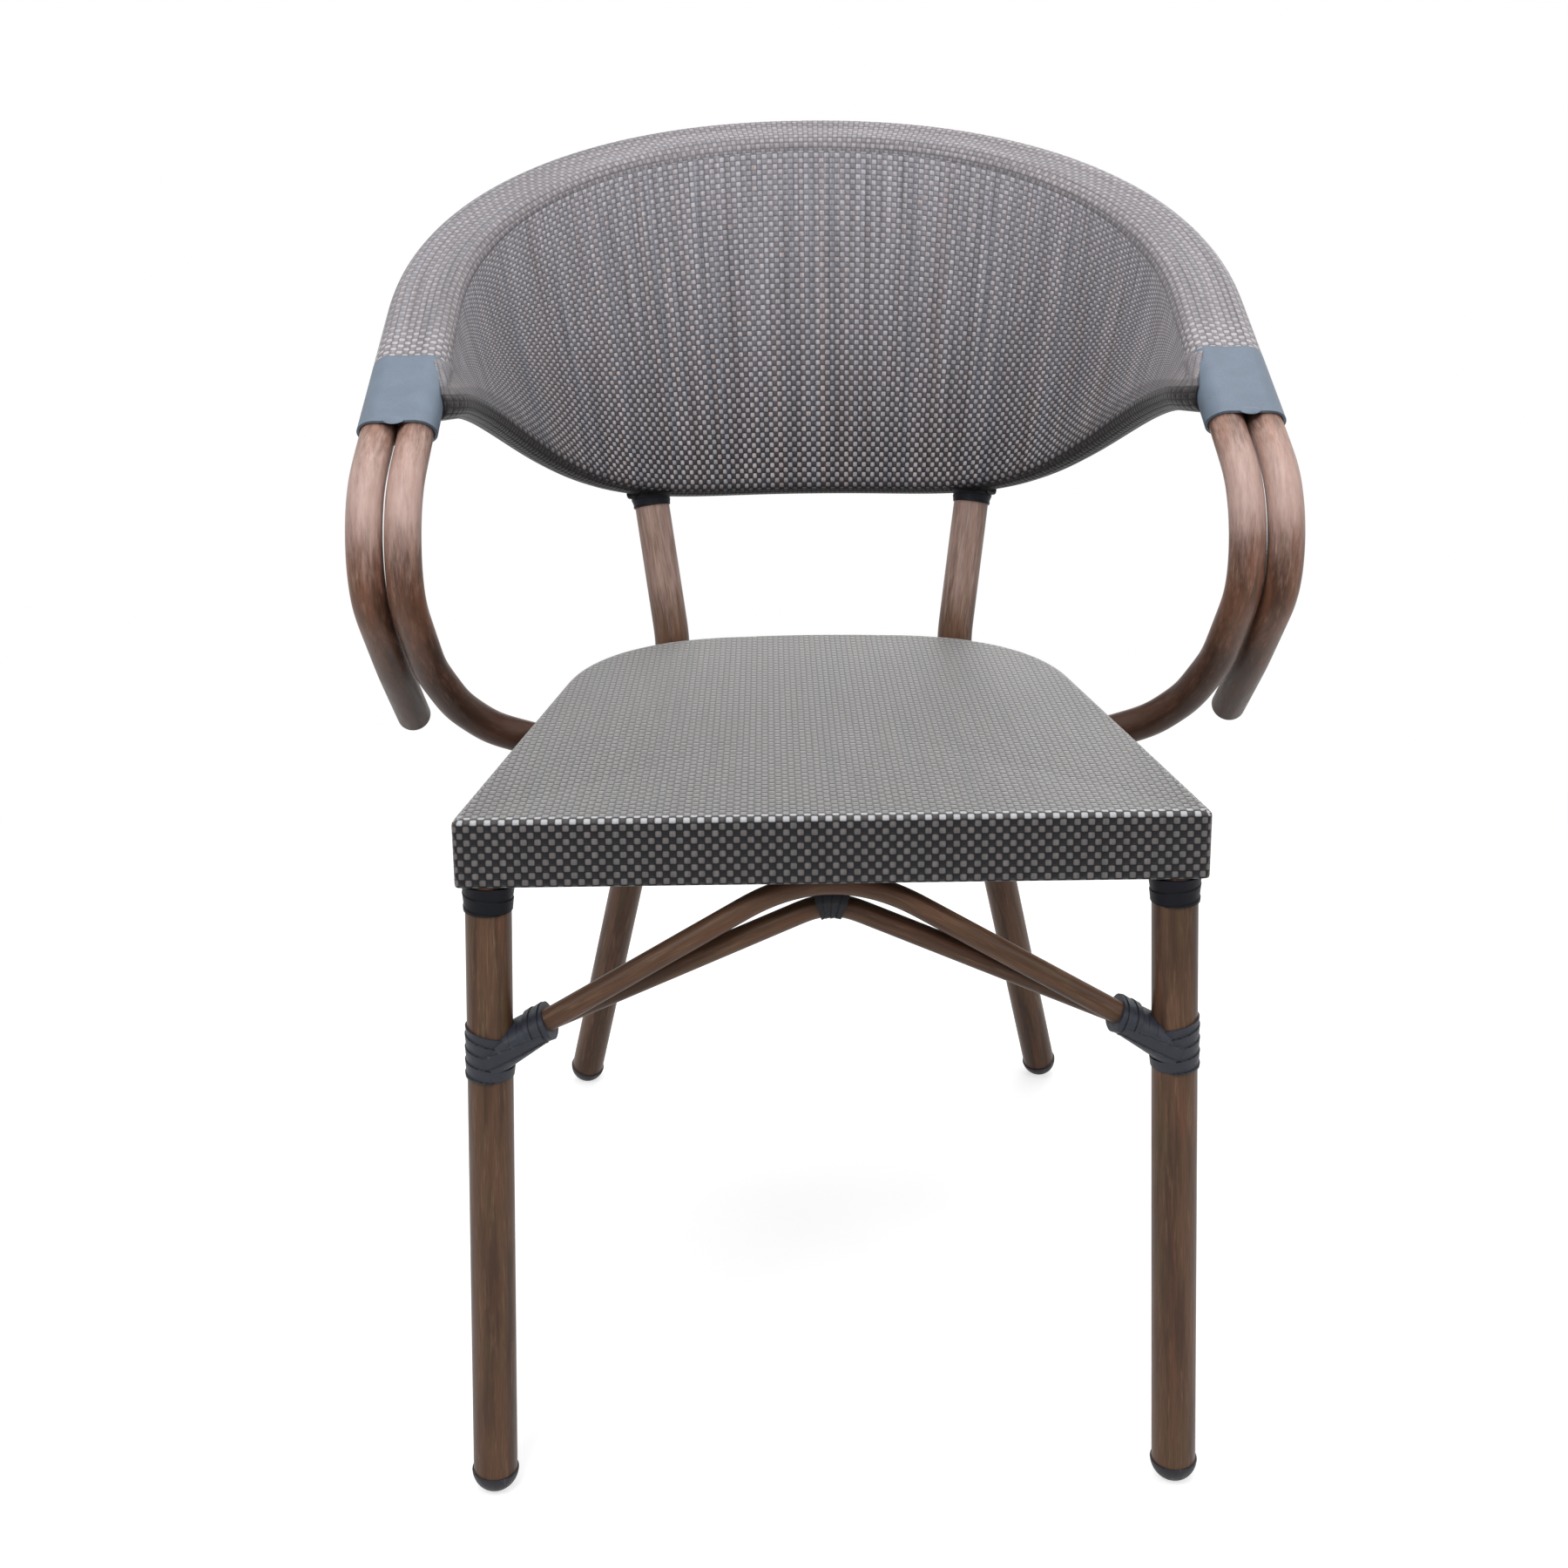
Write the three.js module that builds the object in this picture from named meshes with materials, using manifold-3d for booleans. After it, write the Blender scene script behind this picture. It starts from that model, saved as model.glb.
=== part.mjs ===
// Rattan-look bistro armchair: a welded tube frame with a stretched mesh seat and tub back.
// Millimetres, +Z up, +X to the chair's right as seen from the front, +Y towards the back.
// The chair is modelled with y = 0 at the front legs and is moved at the end, so that its
// origin is on the floor under the middle of its overall box.
import * as THREE from 'three';
import { mergeVertices } from 'three/addons/utils/BufferGeometryUtils.js';
import Module from 'manifold-3d';

const wasm = await Module();
wasm.setup();

// Driving dimensions

// Tubes
const legDiameter = 28;
const legWall = 1.6;
const armTubeDiameter = 23;
const armTubeWall = 1.5;
const lowerRailDiameter = 19;
const lowerRailWall = 1.4;
const braceDiameter = 14;
const braceWall = 1.3;

// Clearances and cloth
const gap = 0.3;
const cloth = 1;
const tapeThickness = 1.4;
const cutOverrun = 40;

// Legs: half spacings are measured to the tube axes
const frontFootHalfSpacing = 219;
const frontLegTopHalfSpacing = 206;
const rearFootHalfSpacing = 211;
const rearFootDepth = 570;
const rearLegBendHeight = 441;
const rearLegBendRadius = 75;
const uprightTopHalfSpacing = 133;

// Glides
const glideRadius = 15;
const glideFlatDepth = 0.6;
const glideStemLength = 20;

// Seat: an outline with straight tapering sides, round rear corners and a slightly crowned rear edge
const seatTopHeight = 457.5;
const seatApronHeight = 42.5;
const seatFrontHalfWidth = 225;
const seatFrontOverhang = 15;
const seatDepth = 456;
const seatSideTaper = 38;
const seatSideStraightDepth = 315;
const seatRearStraightHalfWidth = 60;
const seatRearCrown = 4;
const seatRailWidth = 20;
const seatRailWall = 2;
const seatFlangeHeight = 15;
const seatStripHeight = 12;
const seatStripThickness = 2.5;
const seatStripSetback = 3;
const seatStripCornerLength = 22;

// Arm loop: a squarish half ring in a plane that climbs to the back
const loopHalfWidth = 291;
const loopBackLength = 291;
const loopStartDepth = 300;
const loopStartHeight = 732;
const loopTubePitch = 24.5;
const armToeIn = 5;
const armNoseDepth = 82;
const armNoseRadius = 55;
const armEndDepth = 205;
const armEndHeight = 460;
const armEndToeIn = 1.5;
const armLowerBow = 3;

// Inner arm tube: its lower limb swings in to the seat's side rail
const armJointDepth = 200;
const armJointHeight = 438.5;
const armJointInset = 12;

// Back: lower rail, mesh panel and sleeves
const lowerRailEndDepth = 185;
const lowerRailBackDepth = 507;
const lowerRailBackHeight = 574;
const lowerRailEndRise = 103;
const lowerRailInset = 14;
const bindingStartDepth = 148;
const bindingEndDepth = 229;
const sleeveTuck = 12;
const uprightCope = 5;

// Braces between the front legs: a high arch, and a flatter one behind and under it
const braceLegHeight = 306;
const archCrestDepth = 7;
const archCrestHalfWidth = 50;
const lowBraceCrestDrop = 20;
const lowBraceCrestHalfWidth = 16;

// Tape bindings, collars and plugs
const legBindingHeight = 33;
const legBindingMiddle = 306;
const earLength = 34;
const earThickness = 2.6;
const centreBindingLength = 20;
const collarHeight = 17;
const collarFlare = 1;
const uprightWrapHeight = 26;
const uprightWrapFlare = 2;
const plugFlangeThickness = 2;
const plugStemLength = 12;
const plugClearance = 0.3;

// Outline shares
const loopClimbShare = 0.465;
const superellipseExponent = 2.15;
const lowerRailExponent = 2.3;
const lowerRailRisePower = 4;
const seatCornerForwardShare = 0.62;
const seatCornerInwardShare = 0.53;
const rearLegCornerShare = 0.74;
const rearLegReliefShare = 0.85;
const centreBindingReachShare = 0.55;
const armInnerSwingShares = [
  { along: 0.4, inward: 0.04 },
  { along: 0.68, inward: 0.2 },
  { along: 0.86, inward: 0.46 },
];

// Facet counts
const legSides = 12;
const armSides = 10;
const braceSides = 8;
const railSides = 8;
const loopBackSteps = 20;
const noseSteps = 7;
const archCrestSteps = 6;
const legBendSteps = 5;
const lowerRailSteps = loopBackSteps + 4;
const seatCornerSteps = 8;
const stadiumSteps = 6;
const hemSteps = 10;
const crownSteps = 3;
const lapSteps = 3;
const domeSteps = 5;

// Derived sizes
const legRadius = legDiameter / 2;
const armTubeRadius = armTubeDiameter / 2;
const lowerRailRadius = lowerRailDiameter / 2;
const braceRadius = braceDiameter / 2;
const loopClimb = Math.atan(loopClimbShare);
const seatBottomHeight = seatTopHeight - seatApronHeight;
const railTop = seatTopHeight - cloth - gap;
const railBottom = seatBottomHeight + cloth + gap;
const railInset = cloth + gap;
const frontRailBack = -seatFrontOverhang + railInset + seatRailWidth;

// Curve whose stations are its own knots, so that bends get more of them than straights
class KnotRoute extends THREE.CatmullRomCurve3 {
  getUtoTmapping(u) {
    return u;
  }
}

const vec = (x, y, z) => new THREE.Vector3(x, y, z);

// Solids: joins and cuts on closed meshes

function solidOf(geometry) {
  const bare = new THREE.BufferGeometry();
  bare.setAttribute('position', geometry.getAttribute('position').clone());
  if (geometry.index) {
    bare.setIndex(geometry.index.clone());
  }
  const merged = mergeVertices(bare);
  const solid = new wasm.Manifold(new wasm.Mesh({
    numProp: 3,
    vertProperties: new Float32Array(merged.getAttribute('position').array),
    triVerts: new Uint32Array(merged.index.array),
  }));
  return solid;
}

function geometryOf(solid) {
  const result = solid.getMesh();
  const geometry = new THREE.BufferGeometry();
  geometry.setAttribute('position', new THREE.BufferAttribute(new Float32Array(result.vertProperties), 3));
  geometry.setIndex(new THREE.BufferAttribute(new Uint32Array(result.triVerts), 1));
  geometry.computeVertexNormals();
  return geometry;
}

function cutBy(geometry, ...tools) {
  let solid = solidOf(geometry);
  for (const tool of tools) {
    solid = solid.subtract(solidOf(tool));
  }
  return geometryOf(solid);
}

function joined(...pieces) {
  let solid = solidOf(pieces[0]);
  for (const piece of pieces.slice(1)) {
    solid = solid.add(solidOf(piece));
  }
  return geometryOf(solid);
}

function mirrored(geometry) {
  const copy = mergeVertices(geometry.clone());
  copy.applyMatrix4(new THREE.Matrix4().makeScale(-1, 1, 1));
  const index = Array.from(copy.index.array);
  for (let i = 0; i < index.length; i += 3) {
    [index[i], index[i + 1]] = [index[i + 1], index[i]];
  }
  copy.setIndex(index);
  copy.computeVertexNormals();
  return copy;
}

// Sections and tubes

function polygon(radius, sides) {
  const points = [];
  for (let i = 0; i < sides; i += 1) {
    const angle = (2 * Math.PI * (i + 0.5)) / sides;
    points.push(new THREE.Vector2(radius * Math.cos(angle), radius * Math.sin(angle)));
  }
  return points;
}

// Two half rounds a pitch apart: the outline round a pair of tubes lying side by side. The radius is
// the one to the flats, so that a ring of this outline clears the tubes by its full wall.
const stadiumSpread = 1 / Math.cos(Math.PI / (2 * stadiumSteps));

function stadium(flatRadius, pitch) {
  const radius = flatRadius * stadiumSpread;
  const points = [];
  for (const side of [1, -1]) {
    for (let i = 0; i <= stadiumSteps; i += 1) {
      const angle = Math.PI * (i / stadiumSteps - 0.5);
      const x = side * (pitch / 2 + radius * Math.cos(angle));
      points.push(new THREE.Vector2(x, side * radius * Math.sin(angle)));
    }
  }
  return points;
}

function ringShape(outer, inner) {
  const shape = new THREE.Shape(outer);
  shape.holes.push(new THREE.Path(inner));
  return shape;
}

function alongRoute(shape, knots) {
  return new THREE.ExtrudeGeometry(shape, {
    steps: knots.length - 1,
    extrudePath: new KnotRoute(knots),
    bevelEnabled: false,
  });
}

function tube(knots, radius, wall, sides) {
  return alongRoute(ringShape(polygon(radius, sides), polygon(radius - wall, sides)), knots);
}

function rod(knots, radius, sides) {
  return alongRoute(new THREE.Shape(polygon(radius, sides)), knots);
}

// Corner radius of a faceted bore whose flats clear a tube by the gap
function clearRadius(radius, sides) {
  return (radius + gap) / Math.cos(Math.PI / sides);
}

function envelope(knots, radius, sides) {
  return rod(knots, clearRadius(radius, sides), sides);
}

function filletKnots(before, corner, after, radius, steps) {
  const inward = before.clone().sub(corner).normalize();
  const outward = after.clone().sub(corner).normalize();
  const half = inward.angleTo(outward) / 2;
  const bisector = inward.clone().add(outward).normalize();
  const centre = corner.clone().addScaledVector(bisector, radius / Math.sin(half));
  const first = corner.clone().addScaledVector(inward, radius / Math.tan(half)).sub(centre);
  const axis = first.clone().cross(corner.clone().sub(centre)).normalize();
  const sweep = Math.PI - 2 * half;
  const knots = [];
  for (let i = 0; i <= steps; i += 1) {
    knots.push(first.clone().applyAxisAngle(axis, (sweep * i) / steps).add(centre));
  }
  return knots;
}

function turned(profile, base, axis, sides) {
  const geometry = new THREE.LatheGeometry(profile, sides);
  const turn = new THREE.Quaternion().setFromUnitVectors(vec(0, 1, 0), axis.clone().normalize());
  geometry.applyQuaternion(turn);
  geometry.translate(base.x, base.y, base.z);
  return geometry;
}

// Ring round an axis, from its bottom radius to its flared top
function turnedRing(base, axis, inner, outer, flare, height, sides) {
  const profile = [
    new THREE.Vector2(inner, 0),
    new THREE.Vector2(outer, 0),
    new THREE.Vector2(outer + flare, height),
    new THREE.Vector2(inner, height),
    new THREE.Vector2(inner, 0),
  ];
  return turned(profile, base, axis, sides);
}

function raised(points, low, high) {
  const shape = new THREE.Shape(points);
  const geometry = new THREE.ExtrudeGeometry(shape, { depth: high - low, bevelEnabled: false });
  geometry.translate(0, 0, low);
  return geometry;
}

function raisedRing(outer, inner, low, high) {
  const shape = ringShape(outer, inner);
  const geometry = new THREE.ExtrudeGeometry(shape, { depth: high - low, bevelEnabled: false });
  geometry.translate(0, 0, low);
  return geometry;
}

function block(low, high) {
  const size = high.clone().sub(low);
  const geometry = new THREE.BoxGeometry(size.x, size.y, size.z);
  const middle = low.clone().add(high).multiplyScalar(0.5);
  geometry.translate(middle.x, middle.y, middle.z);
  return geometry;
}

// Seat outline

const sideEndHalfWidth = seatFrontHalfWidth - seatSideTaper;
const sideEndDepth = seatSideStraightDepth - seatFrontOverhang;
const seatRear = seatDepth - seatFrontOverhang;
const cornerRearDepth = seatRear - seatRearCrown;

function seatCorner() {
  const start = new THREE.Vector2(sideEndHalfWidth, sideEndDepth);
  const end = new THREE.Vector2(seatRearStraightHalfWidth, cornerRearDepth);
  const along = new THREE.Vector2(-seatSideTaper, seatSideStraightDepth).normalize();
  const reach = (end.y - start.y) * seatCornerForwardShare;
  const inward = (start.x - end.x) * seatCornerInwardShare;
  const leave = start.clone().addScaledVector(along, reach);
  const arrive = new THREE.Vector2(end.x + inward, end.y - seatRearCrown);
  return new THREE.CubicBezierCurve(start, leave, arrive, end);
}

function seatOutline() {
  const frontCorner = new THREE.Vector2(seatFrontHalfWidth, -seatFrontOverhang);
  const right = [frontCorner, ...seatCorner().getPoints(seatCornerSteps)];
  for (let i = 1; i < crownSteps; i += 1) {
    const share = i / crownSteps;
    const x = seatRearStraightHalfWidth * (1 - share);
    right.push(new THREE.Vector2(x, cornerRearDepth + seatRearCrown * share * (2 - share)));
  }
  const left = right.map((point) => new THREE.Vector2(-point.x, point.y)).reverse();
  return [...right, new THREE.Vector2(0, seatRear), ...left];
}

// Outline moved inwards by a distance, with mitred corners
function inset(points, distance) {
  const count = points.length;
  const moved = [];
  for (let i = 0; i < count; i += 1) {
    const here = points[i];
    const incoming = here.clone().sub(points[(i + count - 1) % count]).normalize();
    const outgoing = points[(i + 1) % count].clone().sub(here).normalize();
    const normal = new THREE.Vector2(-incoming.y - outgoing.y, incoming.x + outgoing.x).normalize();
    const spread = -normal.x * incoming.y + normal.y * incoming.x;
    moved.push(here.clone().addScaledVector(normal, distance / spread));
  }
  return moved;
}

const outline = seatOutline();
const frontZoneWidth = seatFrontHalfWidth + cutOverrun;

// Leg axes

const frontFoot = vec(frontFootHalfSpacing, 0, glideRadius - glideFlatDepth);
const frontLegLean = frontLegTopHalfSpacing - frontFootHalfSpacing;
const frontLegAxis = vec(frontLegLean, 0, railBottom - frontFoot.z).normalize();
const legTopTilt = legRadius * Math.abs(frontLegAxis.x);
const frontLegTop = frontFoot.clone().addScaledVector(
  frontLegAxis,
  (railBottom - gap - legTopTilt - frontFoot.z) / frontLegAxis.z,
);

function alongFrontLeg(height) {
  return frontFoot.clone().addScaledVector(frontLegAxis, (height - frontFoot.z) / frontLegAxis.z);
}

const rearFoot = vec(rearFootHalfSpacing, rearFootDepth, glideRadius - glideFlatDepth);

// The bend's corner point, set off from the seat so that the rounded bend just clears the cover
function rearLegCorner(relief) {
  const corner = seatCorner();
  const point = corner.getPoint(rearLegCornerShare);
  const tangent = corner.getTangent(rearLegCornerShare);
  const away = new THREE.Vector2(tangent.y, -tangent.x);
  point.addScaledVector(away, legRadius + gap - relief);
  return vec(point.x, point.y, rearLegBendHeight);
}

// Arm loop routes. The outer and the inner tube share one plane up to the arms' noses.

const planeX = vec(1, 0, 0);
const planeUp = vec(0, Math.cos(loopClimb), Math.sin(loopClimb));
const planeNormal = vec(0, -Math.sin(loopClimb), Math.cos(loopClimb));
const planeStart = vec(0, loopStartDepth, loopStartHeight);

function onPlane(x, up) {
  return planeStart.clone().addScaledVector(planeX, x).addScaledVector(planeUp, up);
}

// Half superellipse (x/a)^n + (y/b)^n = 1, moved inwards along its own normal by an offset
function loopPoint(angle, offset) {
  const c = Math.cos(angle);
  const s = Math.sin(angle);
  const power = 2 / superellipseExponent;
  const x = loopHalfWidth * Math.sign(c) * Math.abs(c) ** power;
  const up = loopBackLength * Math.abs(s) ** power;
  const nx = (Math.sign(c) * Math.abs(x / loopHalfWidth) ** (superellipseExponent - 1)) / loopHalfWidth;
  const ny = ((up / loopBackLength) ** (superellipseExponent - 1)) / loopBackLength;
  const size = Math.hypot(nx, ny);
  return onPlane(x - (offset * nx) / size, up - (offset * ny) / size);
}

function loopBackKnots(offset) {
  const knots = [];
  for (let i = 0; i <= loopBackSteps; i += 1) {
    knots.push(loopPoint((Math.PI * i) / loopBackSteps, offset));
  }
  return knots;
}

// The nose's foremost point lies where the arc leaves the loop's plane without a kink
const noseStartDepth = armNoseDepth + armNoseRadius * (1 - Math.sin(loopClimb));
const noseStartHeight = loopStartHeight + Math.tan(loopClimb) * (noseStartDepth - loopStartDepth);
const armNoseHeight = noseStartHeight - armNoseRadius * Math.cos(loopClimb);

// Depth and height of the nose arc where the tube has turned down by an angle from the loop's plane
function noseTurn(angle) {
  const heading = angle + loopClimb;
  return {
    y: armNoseDepth + armNoseRadius * (1 - Math.sin(heading)),
    z: armNoseHeight + armNoseRadius * Math.cos(heading),
  };
}

const armSideX = loopHalfWidth - armToeIn;
const limbChordAngle = Math.atan2(armNoseHeight - armEndHeight, armEndDepth - armNoseDepth);
const noseSweep = Math.PI - loopClimb - limbChordAngle;

function armSide(y, offset) {
  return armSideX + (armToeIn * (y - armNoseDepth)) / (loopStartDepth - armNoseDepth) - offset;
}

function noseKnots(offset) {
  const knots = [];
  for (let i = 0; i <= noseSteps; i += 1) {
    const at = noseTurn((noseSweep * i) / noseSteps);
    const x = i * 2 < noseSteps ? armSide(at.y, offset) : armSideX - offset;
    knots.push(vec(x, at.y, at.z));
  }
  return knots;
}

function outerLimbKnots() {
  const start = noseTurn(noseSweep);
  const end = vec(armSideX - armEndToeIn, armEndDepth, armEndHeight);
  const middle = vec(armSideX - armEndToeIn / 2, (start.y + end.y) / 2, (start.z + end.z) / 2);
  middle.z -= armLowerBow;
  return [middle, end];
}

// The side rail's outer face at a depth
function railSide(y) {
  return seatFrontHalfWidth - (seatSideTaper * (y + seatFrontOverhang)) / seatSideStraightDepth - railInset;
}

function innerLimbKnots() {
  const start = noseTurn(noseSweep);
  const end = vec(railSide(armJointDepth) - armJointInset, armJointDepth, armJointHeight);
  const startX = armSideX - loopTubePitch;
  const knots = armInnerSwingShares.map(({ along, inward }) => vec(
    THREE.MathUtils.lerp(startX, end.x, inward),
    THREE.MathUtils.lerp(start.y, end.y, along),
    THREE.MathUtils.lerp(start.z, end.z, along),
  ));
  return [...knots, end];
}

function loopKnots(offset, limb) {
  const arm = [...noseKnots(offset), ...limb];
  const left = arm.map((knot) => vec(-knot.x, knot.y, knot.z));
  return [...arm.reverse(), ...loopBackKnots(offset), ...left];
}

const outerLoop = loopKnots(0, outerLimbKnots());
const innerLoop = loopKnots(loopTubePitch, innerLimbKnots());
const pairOffset = loopTubePitch / 2;

// Point of the loop plane on the straight side of the tube pair, at a depth
function sidePoint(y, offset) {
  const up = (y - loopStartDepth) / Math.cos(loopClimb);
  return onPlane(armSide(y, offset), up);
}

// Lower back rail: a plan superellipse that climbs to the inner arm tubes

const lowerRailHalfWidth = armSide(lowerRailEndDepth, loopTubePitch) - lowerRailInset;

function lowerRailPoint(angle) {
  const c = Math.cos(angle);
  const s = Math.sin(angle);
  const power = 2 / lowerRailExponent;
  return vec(
    lowerRailHalfWidth * Math.sign(c) * Math.abs(c) ** power,
    lowerRailEndDepth + (lowerRailBackDepth - lowerRailEndDepth) * Math.abs(s) ** power,
    lowerRailBackHeight + lowerRailEndRise * Math.abs(c) ** lowerRailRisePower,
  );
}

function lowerRailKnots() {
  const end = sidePoint(lowerRailEndDepth, loopTubePitch);
  const knots = [end];
  for (let i = 1; i < lowerRailSteps; i += 1) {
    knots.push(lowerRailPoint((Math.PI * i) / lowerRailSteps));
  }
  return [...knots, vec(-end.x, end.y, end.z)];
}

const lowerRail = lowerRailKnots();
const panelHemAngle = (Math.PI * 5) / 3;
const hemSpread = 1 / Math.cos(panelHemAngle / (2 * hemSteps));
const hemInner = (lowerRailRadius + gap) * hemSpread;
const hemRadius = hemInner + cloth;

// Angle at which the lower rail passes over the uprights, and the point just under it where they end
const uprightAngle = Math.acos((uprightTopHalfSpacing / lowerRailHalfWidth) ** (lowerRailExponent / 2));
const uprightTop = lowerRailPoint(uprightAngle).sub(vec(0, 0, uprightCope));

// Frame pieces

function frontLeg() {
  const start = frontFoot.clone().addScaledVector(frontLegAxis, gap);
  return tube([start, frontLegTop], legRadius, legWall, legSides);
}

function rearLegKnots() {
  const rough = rearLegCorner(0);
  const half = rearFoot.clone().sub(rough).angleTo(uprightTop.clone().sub(rough)) / 2;
  const relief = rearLegReliefShare * rearLegBendRadius * (1 / Math.sin(half) - 1);
  const bend = filletKnots(rearFoot, rearLegCorner(relief), uprightTop, rearLegBendRadius, legBendSteps);
  const start = rearFoot.clone().addScaledVector(bend[0].clone().sub(rearFoot).normalize(), gap);
  return [start, ...bend, uprightTop];
}

const rearLegRoute = rearLegKnots();
const rearLegAxis = rearLegRoute[1].clone().sub(rearFoot).normalize();
const uprightAxis = uprightTop.clone().sub(rearLegRoute[legBendSteps + 1]).normalize();

function rearLeg() {
  return cutBy(
    tube(rearLegRoute, legRadius, legWall, legSides),
    envelope(lowerRail, hemRadius, railSides),
  );
}

// Domed plug glide: a stem in the tube, a rim under its end and a round foot with a small flat
function glide(foot, axis) {
  const stemRadius = (legRadius - legWall) * Math.cos(Math.PI / legSides) - plugClearance;
  const profile = [new THREE.Vector2(0, -glideRadius)];
  for (let i = 1; i <= domeSteps; i += 1) {
    const angle = (Math.PI / 2) * (i / domeSteps);
    profile.push(new THREE.Vector2(glideRadius * Math.sin(angle), -glideRadius * Math.cos(angle)));
  }
  profile.push(new THREE.Vector2(stemRadius, 0));
  profile.push(new THREE.Vector2(stemRadius, glideStemLength));
  profile.push(new THREE.Vector2(0, glideStemLength));
  const floorCut = block(
    vec(foot.x - cutOverrun, foot.y - cutOverrun, -cutOverrun),
    vec(foot.x + cutOverrun, foot.y + cutOverrun, 0),
  );
  return cutBy(turned(profile, foot, axis, legSides), floorCut);
}

function frontZone(depth) {
  return block(
    vec(-frontZoneWidth, -seatFrontOverhang - cutOverrun, seatBottomHeight - cutOverrun),
    vec(frontZoneWidth, depth, seatTopHeight + cutOverrun),
  );
}

function rearZone(depth) {
  return block(
    vec(-frontZoneWidth, depth, seatBottomHeight - cutOverrun),
    vec(frontZoneWidth, seatRear + cutOverrun, seatTopHeight + cutOverrun),
  );
}

function railRing() {
  return raisedRing(inset(outline, railInset), inset(outline, railInset + seatRailWidth), railBottom, railTop);
}

function seatFrontRail() {
  const hollow = block(
    vec(-frontZoneWidth, -seatFrontOverhang + railInset + seatRailWall, railBottom + seatRailWall),
    vec(frontZoneWidth, frontRailBack - seatRailWall, railTop - seatRailWall),
  );
  return cutBy(railRing(), rearZone(frontRailBack), hollow);
}

function seatHoopRail() {
  const hollow = raisedRing(
    inset(outline, railInset + seatRailWall),
    inset(outline, railInset + seatRailWidth - seatRailWall),
    railBottom + seatRailWall,
    railTop - seatRailWall,
  );
  return cutBy(railRing(), frontZone(frontRailBack + gap), hollow);
}

// Mesh cover: flat top, straight apron, hem under the rail and a flange up the rail's inner face
const flangeInset = railInset + seatRailWidth + gap;

function seatCover() {
  const railSpace = raisedRing(
    inset(outline, cloth),
    inset(outline, flangeInset),
    seatBottomHeight + cloth,
    seatTopHeight - cloth,
  );
  const mouth = raised(
    inset(outline, flangeInset + cloth),
    seatBottomHeight - cloth,
    seatTopHeight - cloth,
  );
  const aboveFlange = raised(
    inset(outline, cloth),
    seatBottomHeight + cloth + seatFlangeHeight,
    seatTopHeight - cloth,
  );
  const legHoleLow = alongFrontLeg(seatBottomHeight - cutOverrun);
  const legHoleHigh = alongFrontLeg(railBottom);
  const legHole = envelope([legHoleLow, legHoleHigh], legRadius, legSides);
  const armHole = envelope(innerLoop.slice(0, armInnerSwingShares.length), armTubeRadius, armSides);
  return cutBy(
    raised(outline, seatBottomHeight, seatTopHeight),
    railSpace,
    mouth,
    aboveFlange,
    legHole,
    mirrored(legHole),
    armHole,
    mirrored(armHole),
  );
}

// Flat strips that clamp the cover's flange to the rails' inner faces
const stripInset = flangeInset + cloth + gap;

function stripRing() {
  const low = railBottom + seatStripSetback;
  return raisedRing(
    inset(outline, stripInset),
    inset(outline, stripInset + seatStripThickness),
    low,
    low + seatStripHeight,
  );
}

function besideZone(x) {
  const low = vec(x, -seatFrontOverhang - cutOverrun, seatBottomHeight - cutOverrun);
  const high = vec(frontZoneWidth, seatRear + cutOverrun, seatTopHeight + cutOverrun);
  return block(low, high);
}

const stripCornerFront = stripInset + seatStripCornerLength - seatFrontOverhang;
const stripCornerRear = sideEndDepth + seatStripCornerLength;
const stripFrontHalf = seatFrontHalfWidth - stripInset - seatStripCornerLength;

function seatStripFront() {
  const right = besideZone(stripFrontHalf);
  const behind = rearZone(stripCornerFront - seatStripCornerLength + seatStripThickness);
  return cutBy(stripRing(), behind, right, mirrored(right));
}

function seatStripRight() {
  const left = mirrored(besideZone(0));
  return cutBy(stripRing(), frontZone(stripCornerFront), rearZone(sideEndDepth), left);
}

function seatStripRear() {
  return cutBy(stripRing(), frontZone(stripCornerRear));
}

// Arm tubes

function outerArmLoopTube() {
  return tube(outerLoop, armTubeRadius, armTubeWall, armSides);
}

function innerArmLoopTube() {
  const seat = raised(inset(outline, cloth), seatBottomHeight - cutOverrun, seatTopHeight + cutOverrun);
  return cutBy(tube(innerLoop, armTubeRadius, armTubeWall, armSides), seat);
}

// Plug in the free end of the outer tube
function armEndPlug() {
  const end = outerLoop[0];
  const axis = outerLoop[1].clone().sub(end).normalize();
  const flangeRadius = armTubeRadius - plugClearance;
  const stemRadius = (armTubeRadius - armTubeWall) * Math.cos(Math.PI / armSides) - plugClearance;
  const profile = [
    new THREE.Vector2(0, -plugFlangeThickness - gap),
    new THREE.Vector2(flangeRadius - plugFlangeThickness / 2, -plugFlangeThickness - gap),
    new THREE.Vector2(flangeRadius, -plugFlangeThickness / 2 - gap),
    new THREE.Vector2(flangeRadius, -gap),
    new THREE.Vector2(stemRadius, -gap),
    new THREE.Vector2(stemRadius, plugStemLength),
    new THREE.Vector2(0, plugStemLength),
  ];
  return turned(profile, end, axis, armSides);
}

// Back pieces

function backLowerRail() {
  return cutBy(
    tube(lowerRail, lowerRailRadius, lowerRailWall, railSides),
    envelope(innerLoop, armTubeRadius, armSides),
  );
}

const sleeveInner = armTubeRadius + gap;
const sleeveOuter = sleeveInner + cloth;
const bindingInner = sleeveOuter + gap;
const bindingOuter = bindingInner + tapeThickness;

function pairSleeve(knots, inner, outer) {
  return alongRoute(ringShape(stadium(outer, loopTubePitch), stadium(inner, loopTubePitch)), knots);
}

function backRimSleeve() {
  const start = sidePoint(bindingEndDepth - sleeveTuck, pairOffset);
  const end = vec(-start.x, start.y, start.z);
  return pairSleeve([start, ...loopBackKnots(pairOffset), end], sleeveInner, sleeveOuter);
}

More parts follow.
